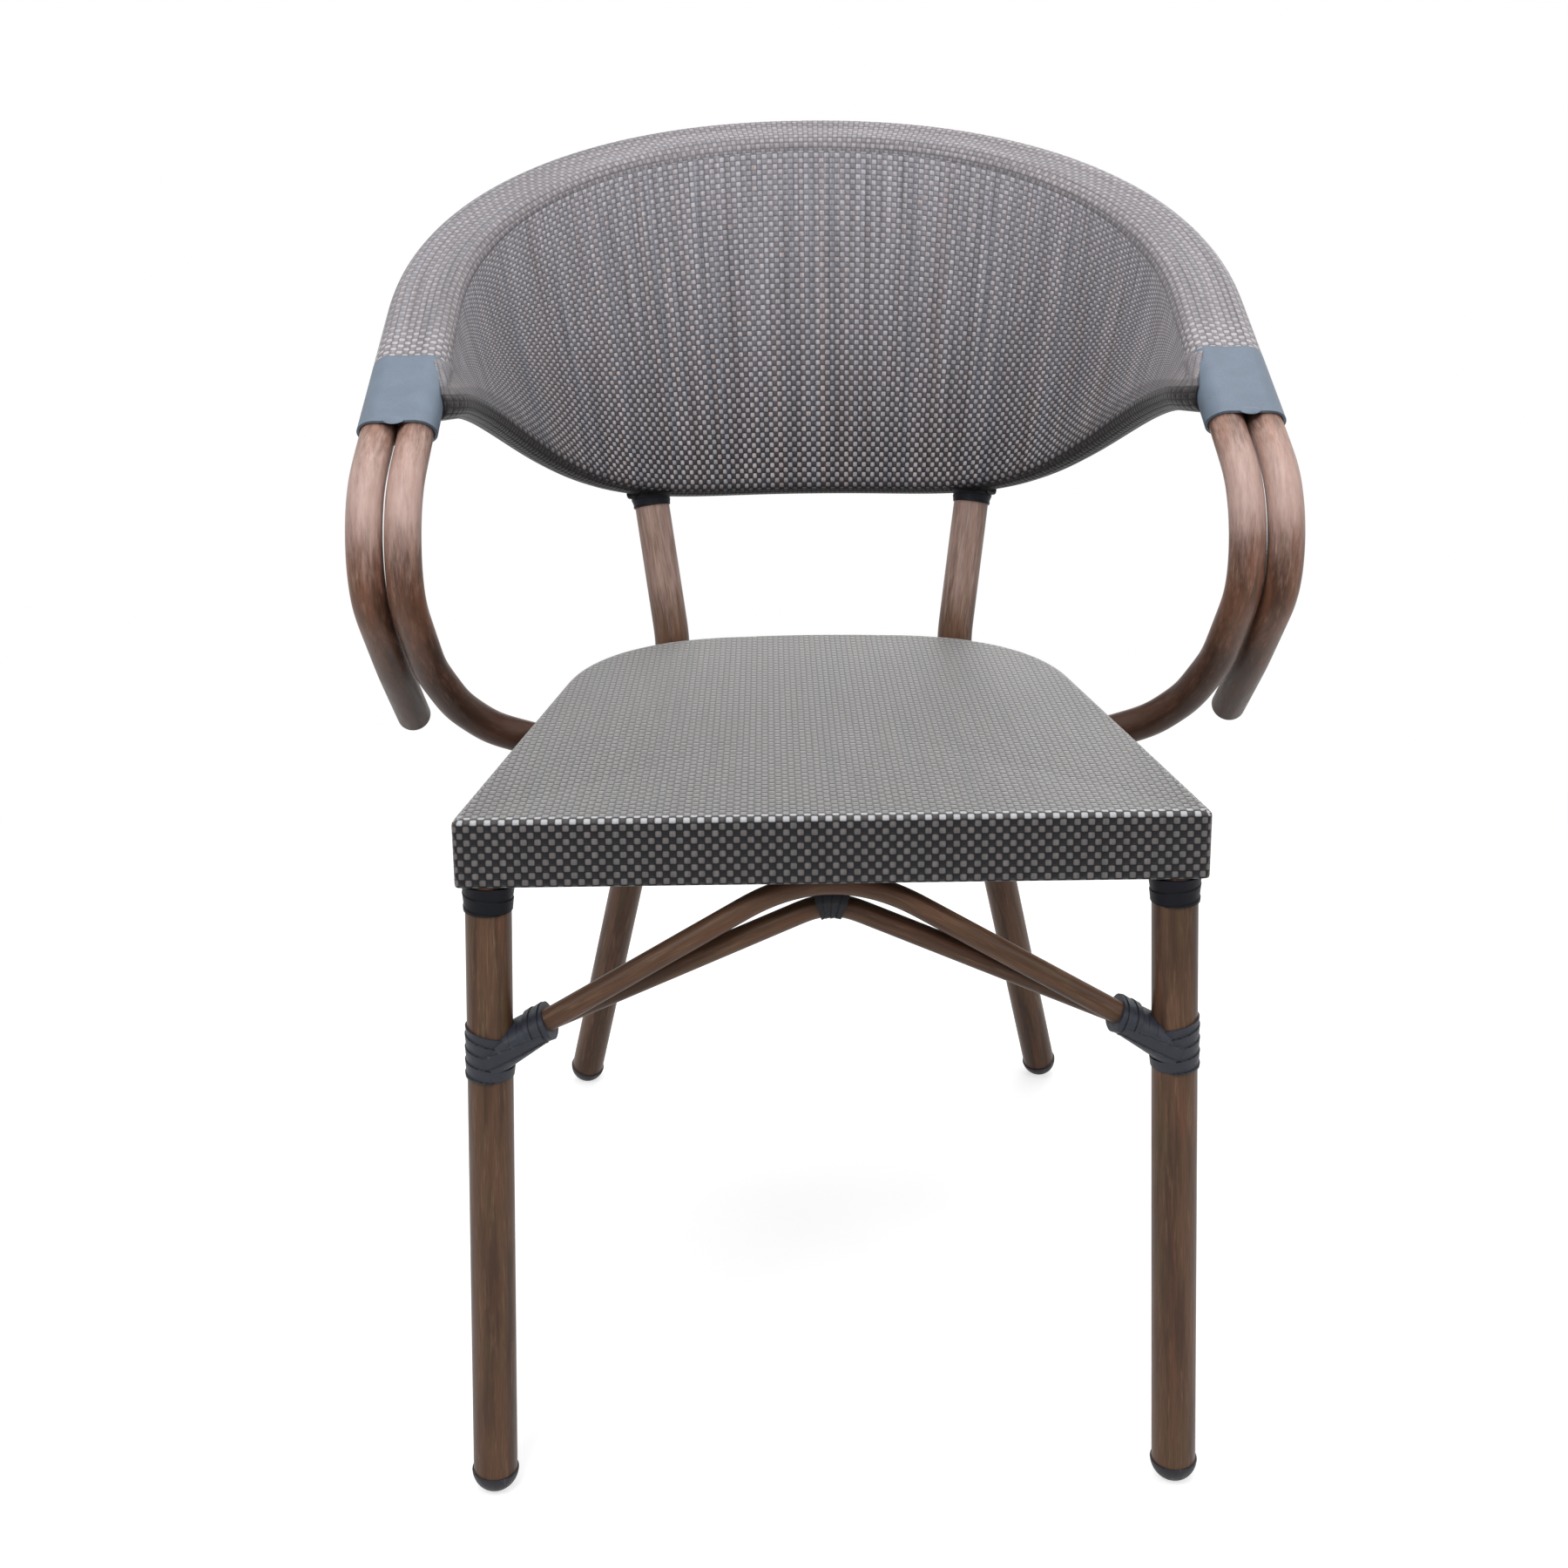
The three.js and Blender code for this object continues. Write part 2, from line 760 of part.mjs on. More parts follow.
function armBinding() {
  const knots = [sidePoint(bindingStartDepth, pairOffset), sidePoint(bindingEndDepth, pairOffset)];
  return cutBy(pairSleeve(knots, bindingInner, bindingOuter), envelope(lowerRail, lowerRailRadius, railSides));
}

// Mesh panel, drawn as sections between the inner arm tube and the lower rail. Each section starts
// on the upper side of the tube, runs straight to the rail's front and folds round the rail as a hem.
const panelLapAngle = Math.PI / 5;
const lapSpread = 1 / Math.cos(panelLapAngle / lapSteps);
const panelSteps = lowerRailSteps - 2;

function panelTopRoute() {
  const start = sidePoint(lowerRail[1].y, loopTubePitch);
  return new KnotRoute([start, ...loopBackKnots(loopTubePitch), vec(-start.x, start.y, start.z)]);
}

// Points on a circle round a tube's axis, turned from the panel's face towards the given side
function wrapPoints(centre, face, side, radius, from, to, steps) {
  const points = [];
  for (let i = 0; i <= steps; i += 1) {
    const angle = from + ((to - from) * i) / steps;
    points.push(centre.clone()
      .addScaledVector(face, radius * Math.cos(angle))
      .addScaledVector(side, radius * Math.sin(angle)));
  }
  return points;
}

function panelSection(topRoute, hemRoute, step) {
  const top = topRoute.points[step];
  const topAlong = topRoute.getTangentAt(step / panelSteps);
  const hem = hemRoute.points[step + 1];
  const hemAlong = hemRoute.getTangentAt((step + 1) / lowerRailSteps);
  const fall = hem.clone().sub(top);
  const topFace = topAlong.clone().cross(fall).normalize();
  const hemFace = hemAlong.clone().cross(fall).normalize();
  const topUp = topAlong.clone().cross(topFace).normalize();
  const hemDown = hemFace.clone().cross(hemAlong).normalize();
  const topRadius = (sleeveOuter * stadiumSpread + gap) * lapSpread;
  // The straight run is the common tangent of both rounds, so it leans by their difference in radius
  const lean = Math.asin((topRadius - hemInner) / fall.length());
  const skin = (offset) => [
    ...wrapPoints(top, topFace, topUp, topRadius + offset, panelLapAngle, -lean, lapSteps),
    ...wrapPoints(hem, hemFace, hemDown, hemInner + offset, lean, panelHemAngle, hemSteps),
  ];
  return { inner: skin(0), outer: skin(cloth) };
}

function backPanel() {
  const topRoute = panelTopRoute();
  const hemRoute = new KnotRoute(lowerRail);
  const positions = [];
  const sections = [];
  for (let i = 0; i <= panelSteps; i += 1) {
    const { inner, outer } = panelSection(topRoute, hemRoute, i);
    sections.push([...inner, ...outer.reverse()]);
  }
  for (const point of sections.flat()) {
    positions.push(point.x, point.y, point.z);
  }
  const count = sections[0].length;
  const index = [];
  // Both skins are split along the same diagonals, so that the cloth keeps its thickness where it twists
  for (let i = 0; i < panelSteps; i += 1) {
    for (let j = 0; j < count; j += 1) {
      const a = i * count + j;
      const b = i * count + ((j + 1) % count);
      const onInnerSkin = j < count / 2;
      const [low, high] = onInnerSkin ? [a, b + count] : [b, a + count];
      index.push(a, b, high, low, b + count, a + count);
    }
  }
  for (let j = 0; j < count / 2 - 1; j += 1) {
    const k = count - 1 - j;
    index.push(j, k, k - 1, j, k - 1, j + 1);
    const last = panelSteps * count;
    index.push(last + j, last + k - 1, last + k, last + j, last + j + 1, last + k - 1);
  }
  const geometry = new THREE.BufferGeometry();
  geometry.setAttribute('position', new THREE.Float32BufferAttribute(positions, 3));
  geometry.setIndex(index);
  geometry.computeVertexNormals();
  return geometry;
}

// Braces between the front legs: straight flanks that meet in a rounded crest

function braceKnots(legDepth, crest, crestHalfWidth) {
  const leg = alongFrontLeg(braceLegHeight);
  leg.y = legDepth;
  const slope = (crest.z - leg.z) / (leg.x - crestHalfWidth / 2);
  const shoulder = vec(crestHalfWidth, crest.y, leg.z + slope * (leg.x - crestHalfWidth));
  const peak = vec(0, crest.y, leg.z + slope * leg.x);
  const crown = new THREE.QuadraticBezierCurve3(shoulder, peak, vec(-shoulder.x, shoulder.y, shoulder.z));
  return [leg, ...crown.getPoints(archCrestSteps), vec(-leg.x, leg.y, leg.z)];
}

// The arch meets the seat's hem at its crest. The low brace runs behind it and sags below it.
const braceStagger = braceRadius + gap;
const archCrest = vec(0, archCrestDepth, seatBottomHeight - gap - braceRadius);
const lowBraceCrest = vec(0, archCrestDepth + 2 * braceStagger, archCrest.z - lowBraceCrestDrop);
const archRoute = braceKnots(-braceStagger, archCrest, archCrestHalfWidth);
const lowBraceRoute = braceKnots(braceStagger, lowBraceCrest, lowBraceCrestHalfWidth);

function frontLegEnvelope() {
  return envelope([alongFrontLeg(0), frontLegTop], legRadius, legSides);
}

function frontBrace(route) {
  const leg = frontLegEnvelope();
  return cutBy(tube(route, braceRadius, braceWall, braceSides), leg, mirrored(leg));
}

// Tape bindings

// Short rod from the first knot of a route along its first stretch
function ear(knots) {
  const along = knots[1].clone().sub(knots[0]).setLength(earLength);
  return rod([knots[0], knots[0].clone().add(along)], braceRadius + gap + earThickness, braceSides);
}

function legBinding() {
  const half = frontLegAxis.clone().setLength(legBindingHeight / 2);
  const middle = alongFrontLeg(legBindingMiddle);
  const drumRadius = clearRadius(legRadius, legSides) + tapeThickness;
  const drum = rod([middle.clone().sub(half), middle.clone().add(half)], drumRadius, legSides);
  return cutBy(
    joined(drum, ear(archRoute), ear(lowBraceRoute)),
    frontLegEnvelope(),
    envelope(archRoute, braceRadius, braceSides),
    envelope(lowBraceRoute, braceRadius, braceSides),
  );
}

// Tape round the low brace's crest, drawn up to the arch over it
function braceCentreBinding() {
  const reach = archCrest.clone().sub(lowBraceCrest).multiplyScalar(centreBindingReachShare);
  const shape = new THREE.Shape(stadium(braceRadius + gap + tapeThickness, reach.length()));
  const wrap = new THREE.ExtrudeGeometry(shape, { depth: centreBindingLength, bevelEnabled: false });
  wrap.translate(0, 0, -centreBindingLength / 2);
  const up = reach.clone().normalize();
  wrap.applyMatrix4(new THREE.Matrix4().makeBasis(up, planeX.clone().cross(up), planeX));
  const middle = lowBraceCrest.clone().addScaledVector(reach, 0.5);
  wrap.translate(middle.x, middle.y, middle.z);
  return cutBy(
    wrap,
    envelope(archRoute, braceRadius, braceSides),
    envelope(lowBraceRoute, braceRadius, braceSides),
  );
}

function legTopCollar() {
  const inner = clearRadius(legRadius, legSides);
  const topClearance = gap + (inner + tapeThickness + collarFlare) * Math.abs(frontLegAxis.x);
  const base = alongFrontLeg(seatBottomHeight - topClearance - collarHeight);
  return turnedRing(base, frontLegAxis, inner, inner + tapeThickness, collarFlare, collarHeight, legSides);
}

function uprightWrap() {
  const inner = clearRadius(legRadius, legSides);
  const base = uprightTop.clone().addScaledVector(uprightAxis, -uprightWrapHeight);
  return cutBy(
    turnedRing(base, uprightAxis, inner, inner + tapeThickness, uprightWrapFlare, uprightWrapHeight, legSides),
    envelope(lowerRail, hemRadius, railSides),
  );
}

// Materials

function paint(color, roughness, metalness) {
  return new THREE.MeshStandardMaterial({ color, roughness, metalness });
}

const brownTube = () => paint(0x6e5548, 0.42, 0.1);
const tanTube = () => paint(0x9a7a69, 0.35, 0.1);
const greyWeave = () => paint(0x77737a, 0.75, 0);
const paleWeave = () => paint(0x98928f, 0.7, 0);
const slateTape = () => paint(0x5d6a76, 0.6, 0);
const darkTape = () => paint(0x353c46, 0.6, 0);
const blackPlastic = () => paint(0x2f3035, 0.5, 0);
const barePlastic = () => paint(0x3c3c40, 0.6, 0);
const hiddenTube = () => paint(0x5b4a40, 0.5, 0.1);

// Assembly

const chair = new THREE.Group();

function add(name, geometry, material) {
  const piece = new THREE.Mesh(geometry, material);
  piece.name = name;
  chair.add(piece);
}

function addPair(name, rightGeometry, material) {
  add(`${name}_right`, rightGeometry, material());
  add(`${name}_left`, mirrored(rightGeometry), material());
}

addPair('front_leg', frontLeg(), brownTube);
addPair('rear_leg', rearLeg(), brownTube);
addPair('front_glide', glide(frontFoot, frontLegAxis), blackPlastic);
addPair('rear_glide', glide(rearFoot, rearLegAxis), blackPlastic);
add('seat_front_rail', seatFrontRail(), hiddenTube());
add('seat_hoop_rail', seatHoopRail(), hiddenTube());
add('seat_cover', seatCover(), greyWeave());
add('seat_strip_front', seatStripFront(), barePlastic());
add('seat_strip_rear', seatStripRear(), barePlastic());
addPair('seat_strip', seatStripRight(), barePlastic);
add('outer_arm_loop_tube', outerArmLoopTube(), tanTube());
add('inner_arm_loop_tube', innerArmLoopTube(), tanTube());
addPair('arm_end_plug', armEndPlug(), blackPlastic);
add('back_lower_rail', backLowerRail(), hiddenTube());
add('back_rim_sleeve', backRimSleeve(), paleWeave());
add('back_panel', backPanel(), greyWeave());
addPair('arm_binding', armBinding(), slateTape);
add('front_arch_brace', frontBrace(archRoute), brownTube());
add('front_low_brace', frontBrace(lowBraceRoute), brownTube());
add('brace_centre_binding', braceCentreBinding(), darkTape());
addPair('leg_binding', legBinding(), darkTape);
addPair('leg_top_collar', legTopCollar(), darkTape);
addPair('upright_wrap', uprightWrap(), darkTape);

// The overall box runs from the leg collars' fronts to the hindmost of the back loop and the rear glides
const loopRear = loopStartDepth + loopBackLength * Math.cos(loopClimb) + sleeveOuter;
const glideRear = rearFoot.y + glideRadius;
const collarReach = clearRadius(legRadius, legSides) + tapeThickness + collarFlare;
chair.position.y = (Math.max(seatFrontOverhang, collarReach) - Math.max(loopRear, glideRear)) / 2;

export default chair;
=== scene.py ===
# %% [markdown]
# A bistro armchair whose metal tubes are printed to look like bamboo, with a woven mesh seat and a
# tub-shaped mesh back. The imported solids give the frame, and this lesson dresses them: every visible
# tube, cloth and tape is worked out again as a smooth surface with its own finish.
# The first cell loads the solids.

import bmesh
import bpy
import numpy as np
from mathutils import Matrix


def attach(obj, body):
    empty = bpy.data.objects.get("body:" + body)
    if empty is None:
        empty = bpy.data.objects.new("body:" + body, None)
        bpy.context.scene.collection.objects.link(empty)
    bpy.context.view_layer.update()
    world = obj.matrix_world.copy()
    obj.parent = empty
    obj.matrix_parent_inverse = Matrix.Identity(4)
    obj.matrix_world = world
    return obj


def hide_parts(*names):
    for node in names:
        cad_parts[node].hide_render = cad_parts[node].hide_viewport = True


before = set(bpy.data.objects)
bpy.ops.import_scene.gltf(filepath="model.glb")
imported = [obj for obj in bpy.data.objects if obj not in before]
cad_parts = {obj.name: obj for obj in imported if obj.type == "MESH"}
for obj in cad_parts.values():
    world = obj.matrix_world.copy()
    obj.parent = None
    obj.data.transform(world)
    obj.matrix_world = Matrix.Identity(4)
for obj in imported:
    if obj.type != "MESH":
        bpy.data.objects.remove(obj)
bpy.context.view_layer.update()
print("packed solids:", len(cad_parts))

# %% [markdown]
# The camera stands a little above the seat and looks slightly down. Its picture plane is shifted
# rather than tilted further, which keeps the legs nearly upright, as in a catalogue picture.
# The three axes are worked out from a turn, a dip and a small roll, because these are easy to adjust.

# %% Camera
turn, dip, roll = np.radians([-0.41, 12.88, -0.61])
level_right = np.array([np.cos(turn), np.sin(turn), 0])
level_up = np.array([-np.sin(turn) * np.sin(dip), np.cos(turn) * np.sin(dip), np.cos(dip)])
forward = np.array([-np.sin(turn) * np.cos(dip), np.cos(turn) * np.cos(dip), -np.sin(dip)])
stand = np.eye(4)
stand[:3, 0] = np.cos(roll) * level_right + np.sin(roll) * level_up
stand[:3, 1] = -np.sin(roll) * level_right + np.cos(roll) * level_up
stand[:3, 2] = -forward
stand[:3, 3] = -0.0348, -1.3665, 0.8264
camera = bpy.data.objects.new("camera", bpy.data.cameras.new("camera"))
bpy.context.scene.collection.objects.link(camera)
camera.matrix_world = Matrix(stand.tolist())
camera.data.lens = 43.922
camera.data.sensor_width = 36
camera.data.shift_y = -0.111
bpy.context.scene.camera = camera
print("camera at", [round(x, 3) for x in camera.location])

# %% [markdown]
# Every path below is written with depth 0 at the front legs, because that is how such a chair is
# measured in a workshop. The surface helper moves finished points to the frame's own origin.
# A path is first drawn roughly through its knots. It is then read off at equal steps and eased with
# a running average, which turns each kink into a bend as a bending machine would leave it.

# %% Paths
front_legs_depth = -0.2838978


def unit(vectors):
    """Each vector divided by its own length."""
    return vectors / np.linalg.norm(vectors, axis=-1, keepdims=True)


def length_along(line):
    """Length from the start of a line to each of its points: the steps' lengths added up."""
    return np.concatenate([[0], np.cumsum(np.linalg.norm(np.diff(line, axis=0), axis=1))])


def even_path(knots, spacing):
    """The line through the knots read off at equal steps: each coordinate is interpolated over the length."""
    length = length_along(knots)
    at = np.linspace(0, length[-1], int(np.ceil(length[-1] / spacing)) + 1)
    return np.stack([np.interp(at, length, knots[:, k]) for k in range(knots.shape[1])], axis=1)


def bell(softness, spacing):
    """Weights of a running average: a bell curve cut off at three times its width, with sum one."""
    reach = int(np.ceil(3 * softness / spacing))
    weights = np.exp(-0.5 * (np.arange(-reach, reach + 1) * spacing / softness) ** 2)
    return weights / weights.sum()


def eased(line, softness, spacing):
    """Line averaged with a bell curve. Past each end it goes on point-mirrored, so the ends stay."""
    weights = bell(softness, spacing)
    reach = len(weights) // 2
    before = 2 * line[0] - line[1 : reach + 1][::-1]
    after = 2 * line[-1] - line[-reach - 1 : -1][::-1]
    longer = np.concatenate([before, line, after])
    return np.stack([np.convolve(longer[:, k], weights, "valid") for k in range(3)], axis=1)


def bent_path(knots, spacing, softness):
    """Even path through the knots, eased."""
    return eased(even_path(np.asarray(knots, float), spacing), softness, spacing)


def mirrored(points):
    """The same points on the other side of the chair."""
    return points * np.array([-1, 1, 1])


def on_side(points, side):
    """Points as they are for side 1, the right, and mirrored for side -1, the left."""
    return mirrored(points) if side < 0 else points


print("paths start", front_legs_depth, "m from the frame's origin")

# %% [markdown]
# A tube is a ring carried along a path. At each step the ring needs two directions square to the
# path. A guide direction gives the first, less its share along the path, and a cross product the
# second. Blender's curve bevel could do this too, but the arrays also give each point its place on
# the unbent tube, and the printed grain needs that to run along the tube without a seam.

# %% Surfaces from arrays


def path_frames(path, guide):
    """Directions along the path, to the side and up: up is the guide made square to the path."""
    along = unit(np.gradient(path, axis=0))
    guide = np.broadcast_to(guide, path.shape)
    up = unit(guide - along * np.sum(guide * along, axis=1, keepdims=True))
    return along, np.cross(along, up), up


def carried(path, guide, outline):
    """Outline carried along a path: path point plus side times the outline's x plus up times its y."""
    along, side, up = path_frames(path, guide)
    outline = np.broadcast_to(outline, (len(path),) + outline.shape[-2:])
    return path[:, None] + side[:, None] * outline[..., :1] + up[:, None] * outline[..., 1:]


def circle(radius, count):
    """Points round a circle, from angle zero."""
    angle = np.arange(count) * 2 * np.pi / count
    return radius * np.stack([np.cos(angle), np.sin(angle)], axis=1)


def unbent(path, outline):
    """Place of each point on the straightened tube: the outline's x and y, and the length so far."""
    outline = np.broadcast_to(outline, (len(path),) + outline.shape[-2:])
    height = np.broadcast_to(length_along(path)[:, None, None], outline.shape[:2] + (1,))
    return np.concatenate([outline, height], axis=2)


def with_ends(grid):
    """Grid with its first and last ring drawn in to their middles, which closes the tube."""
    first = np.broadcast_to(grid[:1].mean(axis=1, keepdims=True), grid[:1].shape)
    last = np.broadcast_to(grid[-1:].mean(axis=1, keepdims=True), grid[-1:].shape)
    return np.concatenate([first, grid, last])


def grid_faces(rows, columns, wrap):
    """Row and column numbers of each quad's corners. A wrapped grid joins its last column to its first."""
    across = columns if wrap else columns - 1
    row, column = np.meshgrid(np.arange(rows - 1), np.arange(across), indexing="ij")
    rows4 = np.stack([row, row, row + 1, row + 1], axis=-1).reshape(-1, 4)
    columns4 = np.stack([column, column + 1, column + 1, column], axis=-1).reshape(-1, 4)
    return rows4, columns4


def surface(name, grids, wrap=True, crease=35):
    """One mesh from grids of points, each given as (points, map or None, {attribute: values}).

    Doubled points at poles and seams are merged, and a closed mesh gets outward faces."""
    points, faces, corners_uv, values = [], [], [], {}
    start = 0
    for grid, uv, extra in grids:
        rows, columns = grid.shape[:2]
        rows4, columns4 = grid_faces(rows, columns, wrap)
        faces.append(start + rows4 * columns + columns4 % columns)
        points.append(grid.reshape(-1, 3))
        if uv is not None:
            corners_uv.append(uv[rows4, columns4].reshape(-1, 2))
        for key, value in extra.items():
            values.setdefault(key, []).append(value.reshape(rows * columns, -1))
        start += rows * columns
    points = np.concatenate(points) + np.array([0, front_legs_depth, 0])
    mesh = bpy.data.meshes.new(name)
    mesh.from_pydata(points, [], np.concatenate(faces))
    if corners_uv:
        layer = mesh.uv_layers.new(name="cloth")
        layer.uv.foreach_set("vector", np.concatenate(corners_uv).astype(np.float32).ravel())
    for key, parts in values.items():
        value = np.concatenate(parts).astype(np.float32)
        kind, field = ("FLOAT_VECTOR", "vector") if value.shape[1] == 3 else ("FLOAT", "value")
        mesh.attributes.new(key, kind, "POINT").data.foreach_set(field, value.ravel())
    shell = bmesh.new()
    shell.from_mesh(mesh)
    bmesh.ops.remove_doubles(shell, verts=shell.verts, dist=2e-6)
    if not any(edge.is_boundary for edge in shell.edges):
        bmesh.ops.recalc_face_normals(shell, faces=shell.faces)
    shell.to_mesh(mesh)
    shell.free()
    mesh.polygons.foreach_set("use_smooth", np.ones(len(mesh.polygons), bool))
    mesh.set_sharp_from_angle(angle=np.radians(crease))
    piece = bpy.data.objects.new(name, mesh)
    bpy.context.scene.collection.objects.link(piece)
    return piece


def fit(piece, finish_on, slot, *nodes):
    """Gives a piece its finish, and lets it stand for its solids on the chair's one body. The slot is not
    used.
    """
    piece.data.materials.append(finish_on)
    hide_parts(*nodes)
    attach(piece, "root")
    print(f"{piece.name}: {len(piece.data.polygons)} faces, stands for {', '.join(nodes)}")
    return piece


# %% [markdown]
# Finishes come next. Colours are written as they look on a screen, from 0 to 255, and turned into
# the linear values that the renderer works with. Small helpers add a node and join its sockets,
# because the same few kinds of node come back in every finish.

# %% Node helpers


def colour(red, green, blue):
    """Screen colour to linear light: the standard curve, close to a power of 2.4."""
    screen = np.array([red, green, blue]) / 255
    linear = np.where(screen <= 0.04045, screen / 12.92, ((screen + 0.055) / 1.055) ** 2.4)
    return (*linear.tolist(), 1.0)


def node(tree, kind, settings=None, **inputs):
    """Adds a node, sets its properties, and sets or joins its inputs.

    Underscores in an input's name stand for spaces, and i0, i1 and so on are inputs by number."""
    made = tree.nodes.new(kind)
    for key, value in (settings or {}).items():
        setattr(made, key, value)
    for key, value in inputs.items():
        name = key.replace("_", " ")
        socket = made.inputs[int(name[1:])] if name[1:].isdigit() else made.inputs[name]
        if isinstance(value, bpy.types.NodeSocket):
            tree.links.new(value, socket)
        else:
            socket.default_value = value
    return made


def sums(tree, operation, *values):
    """Result of one arithmetic node on numbers or sockets."""
    inputs = {f"i{k}": value for k, value in enumerate(values)}
    return node(tree, "ShaderNodeMath", {"operation": operation}, **inputs).outputs[0]


def product(tree, *values):
    """Product of numbers and sockets."""
    result = values[0]
    for value in values[1:]:
        result = sums(tree, "MULTIPLY", result, value)
    return result


def blend(tree, share, first, second, how="MIX"):
    """Colour between two colours by a share from 0 to 1."""
    settings = {"data_type": "RGBA", "blend_type": how}
    return node(tree, "ShaderNodeMix", settings, i0=share, i6=first, i7=second).outputs[2]


def shaded(tree, ground, level):
    """Colour times a grey level."""
    grey = node(tree, "ShaderNodeCombineColor", Red=level, Green=level, Blue=level).outputs[0]
    return blend(tree, 1.0, ground, grey, "MULTIPLY")


def ramp(tree, value, low, high, start=0.0, end=1.0):
    """Value carried smoothly from a range to another: below low it is start, above high it is end."""
    settings = {"interpolation_type": "SMOOTHSTEP"}
    made = node(tree, "ShaderNodeMapRange", settings, i0=value, i1=low, i2=high, i3=start, i4=end)
    return made.outputs[0]


def stretched(tree, vector, scale):
    """Vector times a scale for each axis."""
    settings = {"operation": "MULTIPLY"}
    return node(tree, "ShaderNodeVectorMath", settings, i0=vector, i1=scale).outputs[0]


def noise(tree, vector, detail=2.0, rough=0.5):
    """Cloudy value from 0 to 1 with features about one unit apart."""
    made = node(tree, "ShaderNodeTexNoise", Vector=vector, Scale=1.0, Detail=detail, Roughness=rough)
    return made.outputs[0]


def carried_value(tree, name, kind="Fac"):
    """Value, or Vector, that the mesh itself carries under a name."""
    return node(tree, "ShaderNodeAttribute", {"attribute_name": name}).outputs[kind]


def group(name, inputs, outputs):
    """Empty node group. Inputs are given as (name, kind, default) and outputs as (name, kind)."""
    tree = bpy.data.node_groups.new(name, "ShaderNodeTree")
    for label, kind, value in inputs:
        socket = tree.interface.new_socket(label, in_out="INPUT", socket_type=kind)
        if value is not None:
            socket.default_value = value
    for label, kind in outputs:
        tree.interface.new_socket(label, in_out="OUTPUT", socket_type=kind)
    return tree, tree.nodes.new("NodeGroupInput"), tree.nodes.new("NodeGroupOutput")


def put_out(tree, result, **values):
    """Joins values to the outputs of a group."""
    for key, value in values.items():
        tree.links.new(value, result.inputs[key.replace("_", " ")])


def finish(name, **constants):
    """New material with a Principled shader whose plain values are set on its own sockets."""
    made = bpy.data.materials.new(name)
    made.use_nodes = True
    shader = made.node_tree.nodes["Principled BSDF"]
    for key, value in constants.items():
        shader.inputs[key.replace("_", " ")].default_value = value
    return made, made.node_tree, shader


def coat_shader(tree, shader, tint, roughness, height, strength, depth):
    """Joins a colour and a roughness to the shader, and a height through a bump of a strength and depth."""
    tree.links.new(tint, shader.inputs["Base Color"])
    tree.links.new(roughness, shader.inputs["Roughness"])
    bump = node(tree, "ShaderNodeBump", Strength=strength, Distance=depth, Height=height)
    tree.links.new(bump.outputs[0], shader.inputs["Normal"])


VECTOR, COLOUR, VALUE = "NodeSocketVector", "NodeSocketColor", "NodeSocketFloat"
print("node helpers ready")

# %% [markdown]
# The tubes are aluminium with a printed film that imitates split bamboo: long streaks run along
# each tube, some darker, some reddish or greenish, under a satin lacquer. The streaks come from
# cloudy noise on the unbent tube, stretched some five to twenty times along it. Three sizes of streak
# are laid over each other, because one alone looks like a barcode.

# %% Bamboo print group
bamboo, given, result = group(
    "bamboo print",
    [
        ("Place", VECTOR, None),
        ("Ground", COLOUR, colour(120, 92, 80)),
        ("Shade", COLOUR, colour(64, 47, 41)),
        ("Sheen", COLOUR, colour(168, 138, 122)),
        ("Warm", COLOUR, colour(132, 82, 62)),
        ("Cool", COLOUR, colour(104, 98, 78)),
    ],
    [("Colour", COLOUR), ("Height", VALUE), ("Roughness", VALUE)],
)
place = given.outputs["Place"]
broad = noise(bamboo, stretched(bamboo, place, (110, 110, 9)), 3.0)
medium = noise(bamboo, stretched(bamboo, place, (330, 330, 30)), 3.0, 0.6)
hair = noise(bamboo, stretched(bamboo, place, (1500, 1500, 70)), 2.0, 0.6)
warmth = noise(bamboo, stretched(bamboo, place, (160, 160, 14)), 2.0)
body = blend(bamboo, ramp(bamboo, broad, 0.40, 0.64), given.outputs["Ground"], given.outputs["Shade"])
body = blend(bamboo, ramp(bamboo, medium, 0.50, 0.76, 0.0, 0.65), body, given.outputs["Sheen"])
body = blend(bamboo, ramp(bamboo, warmth, 0.54, 0.74, 0.0, 0.6), body, given.outputs["Warm"])
body = blend(bamboo, ramp(bamboo, warmth, 0.46, 0.26, 0.0, 0.5), body, given.outputs["Cool"])
put_out(
    bamboo, result,
    Colour=shaded(bamboo, body, ramp(bamboo, hair, 0.35, 0.7, 0.86, 1.08)),
    Height=sums(bamboo, "ADD", product(bamboo, hair, 0.5), medium),
    Roughness=ramp(bamboo, medium, 0.3, 0.7, 0.34, 0.46),
)
print("bamboo print group:", len(bamboo.nodes), "nodes")

# %% Bamboo finishes


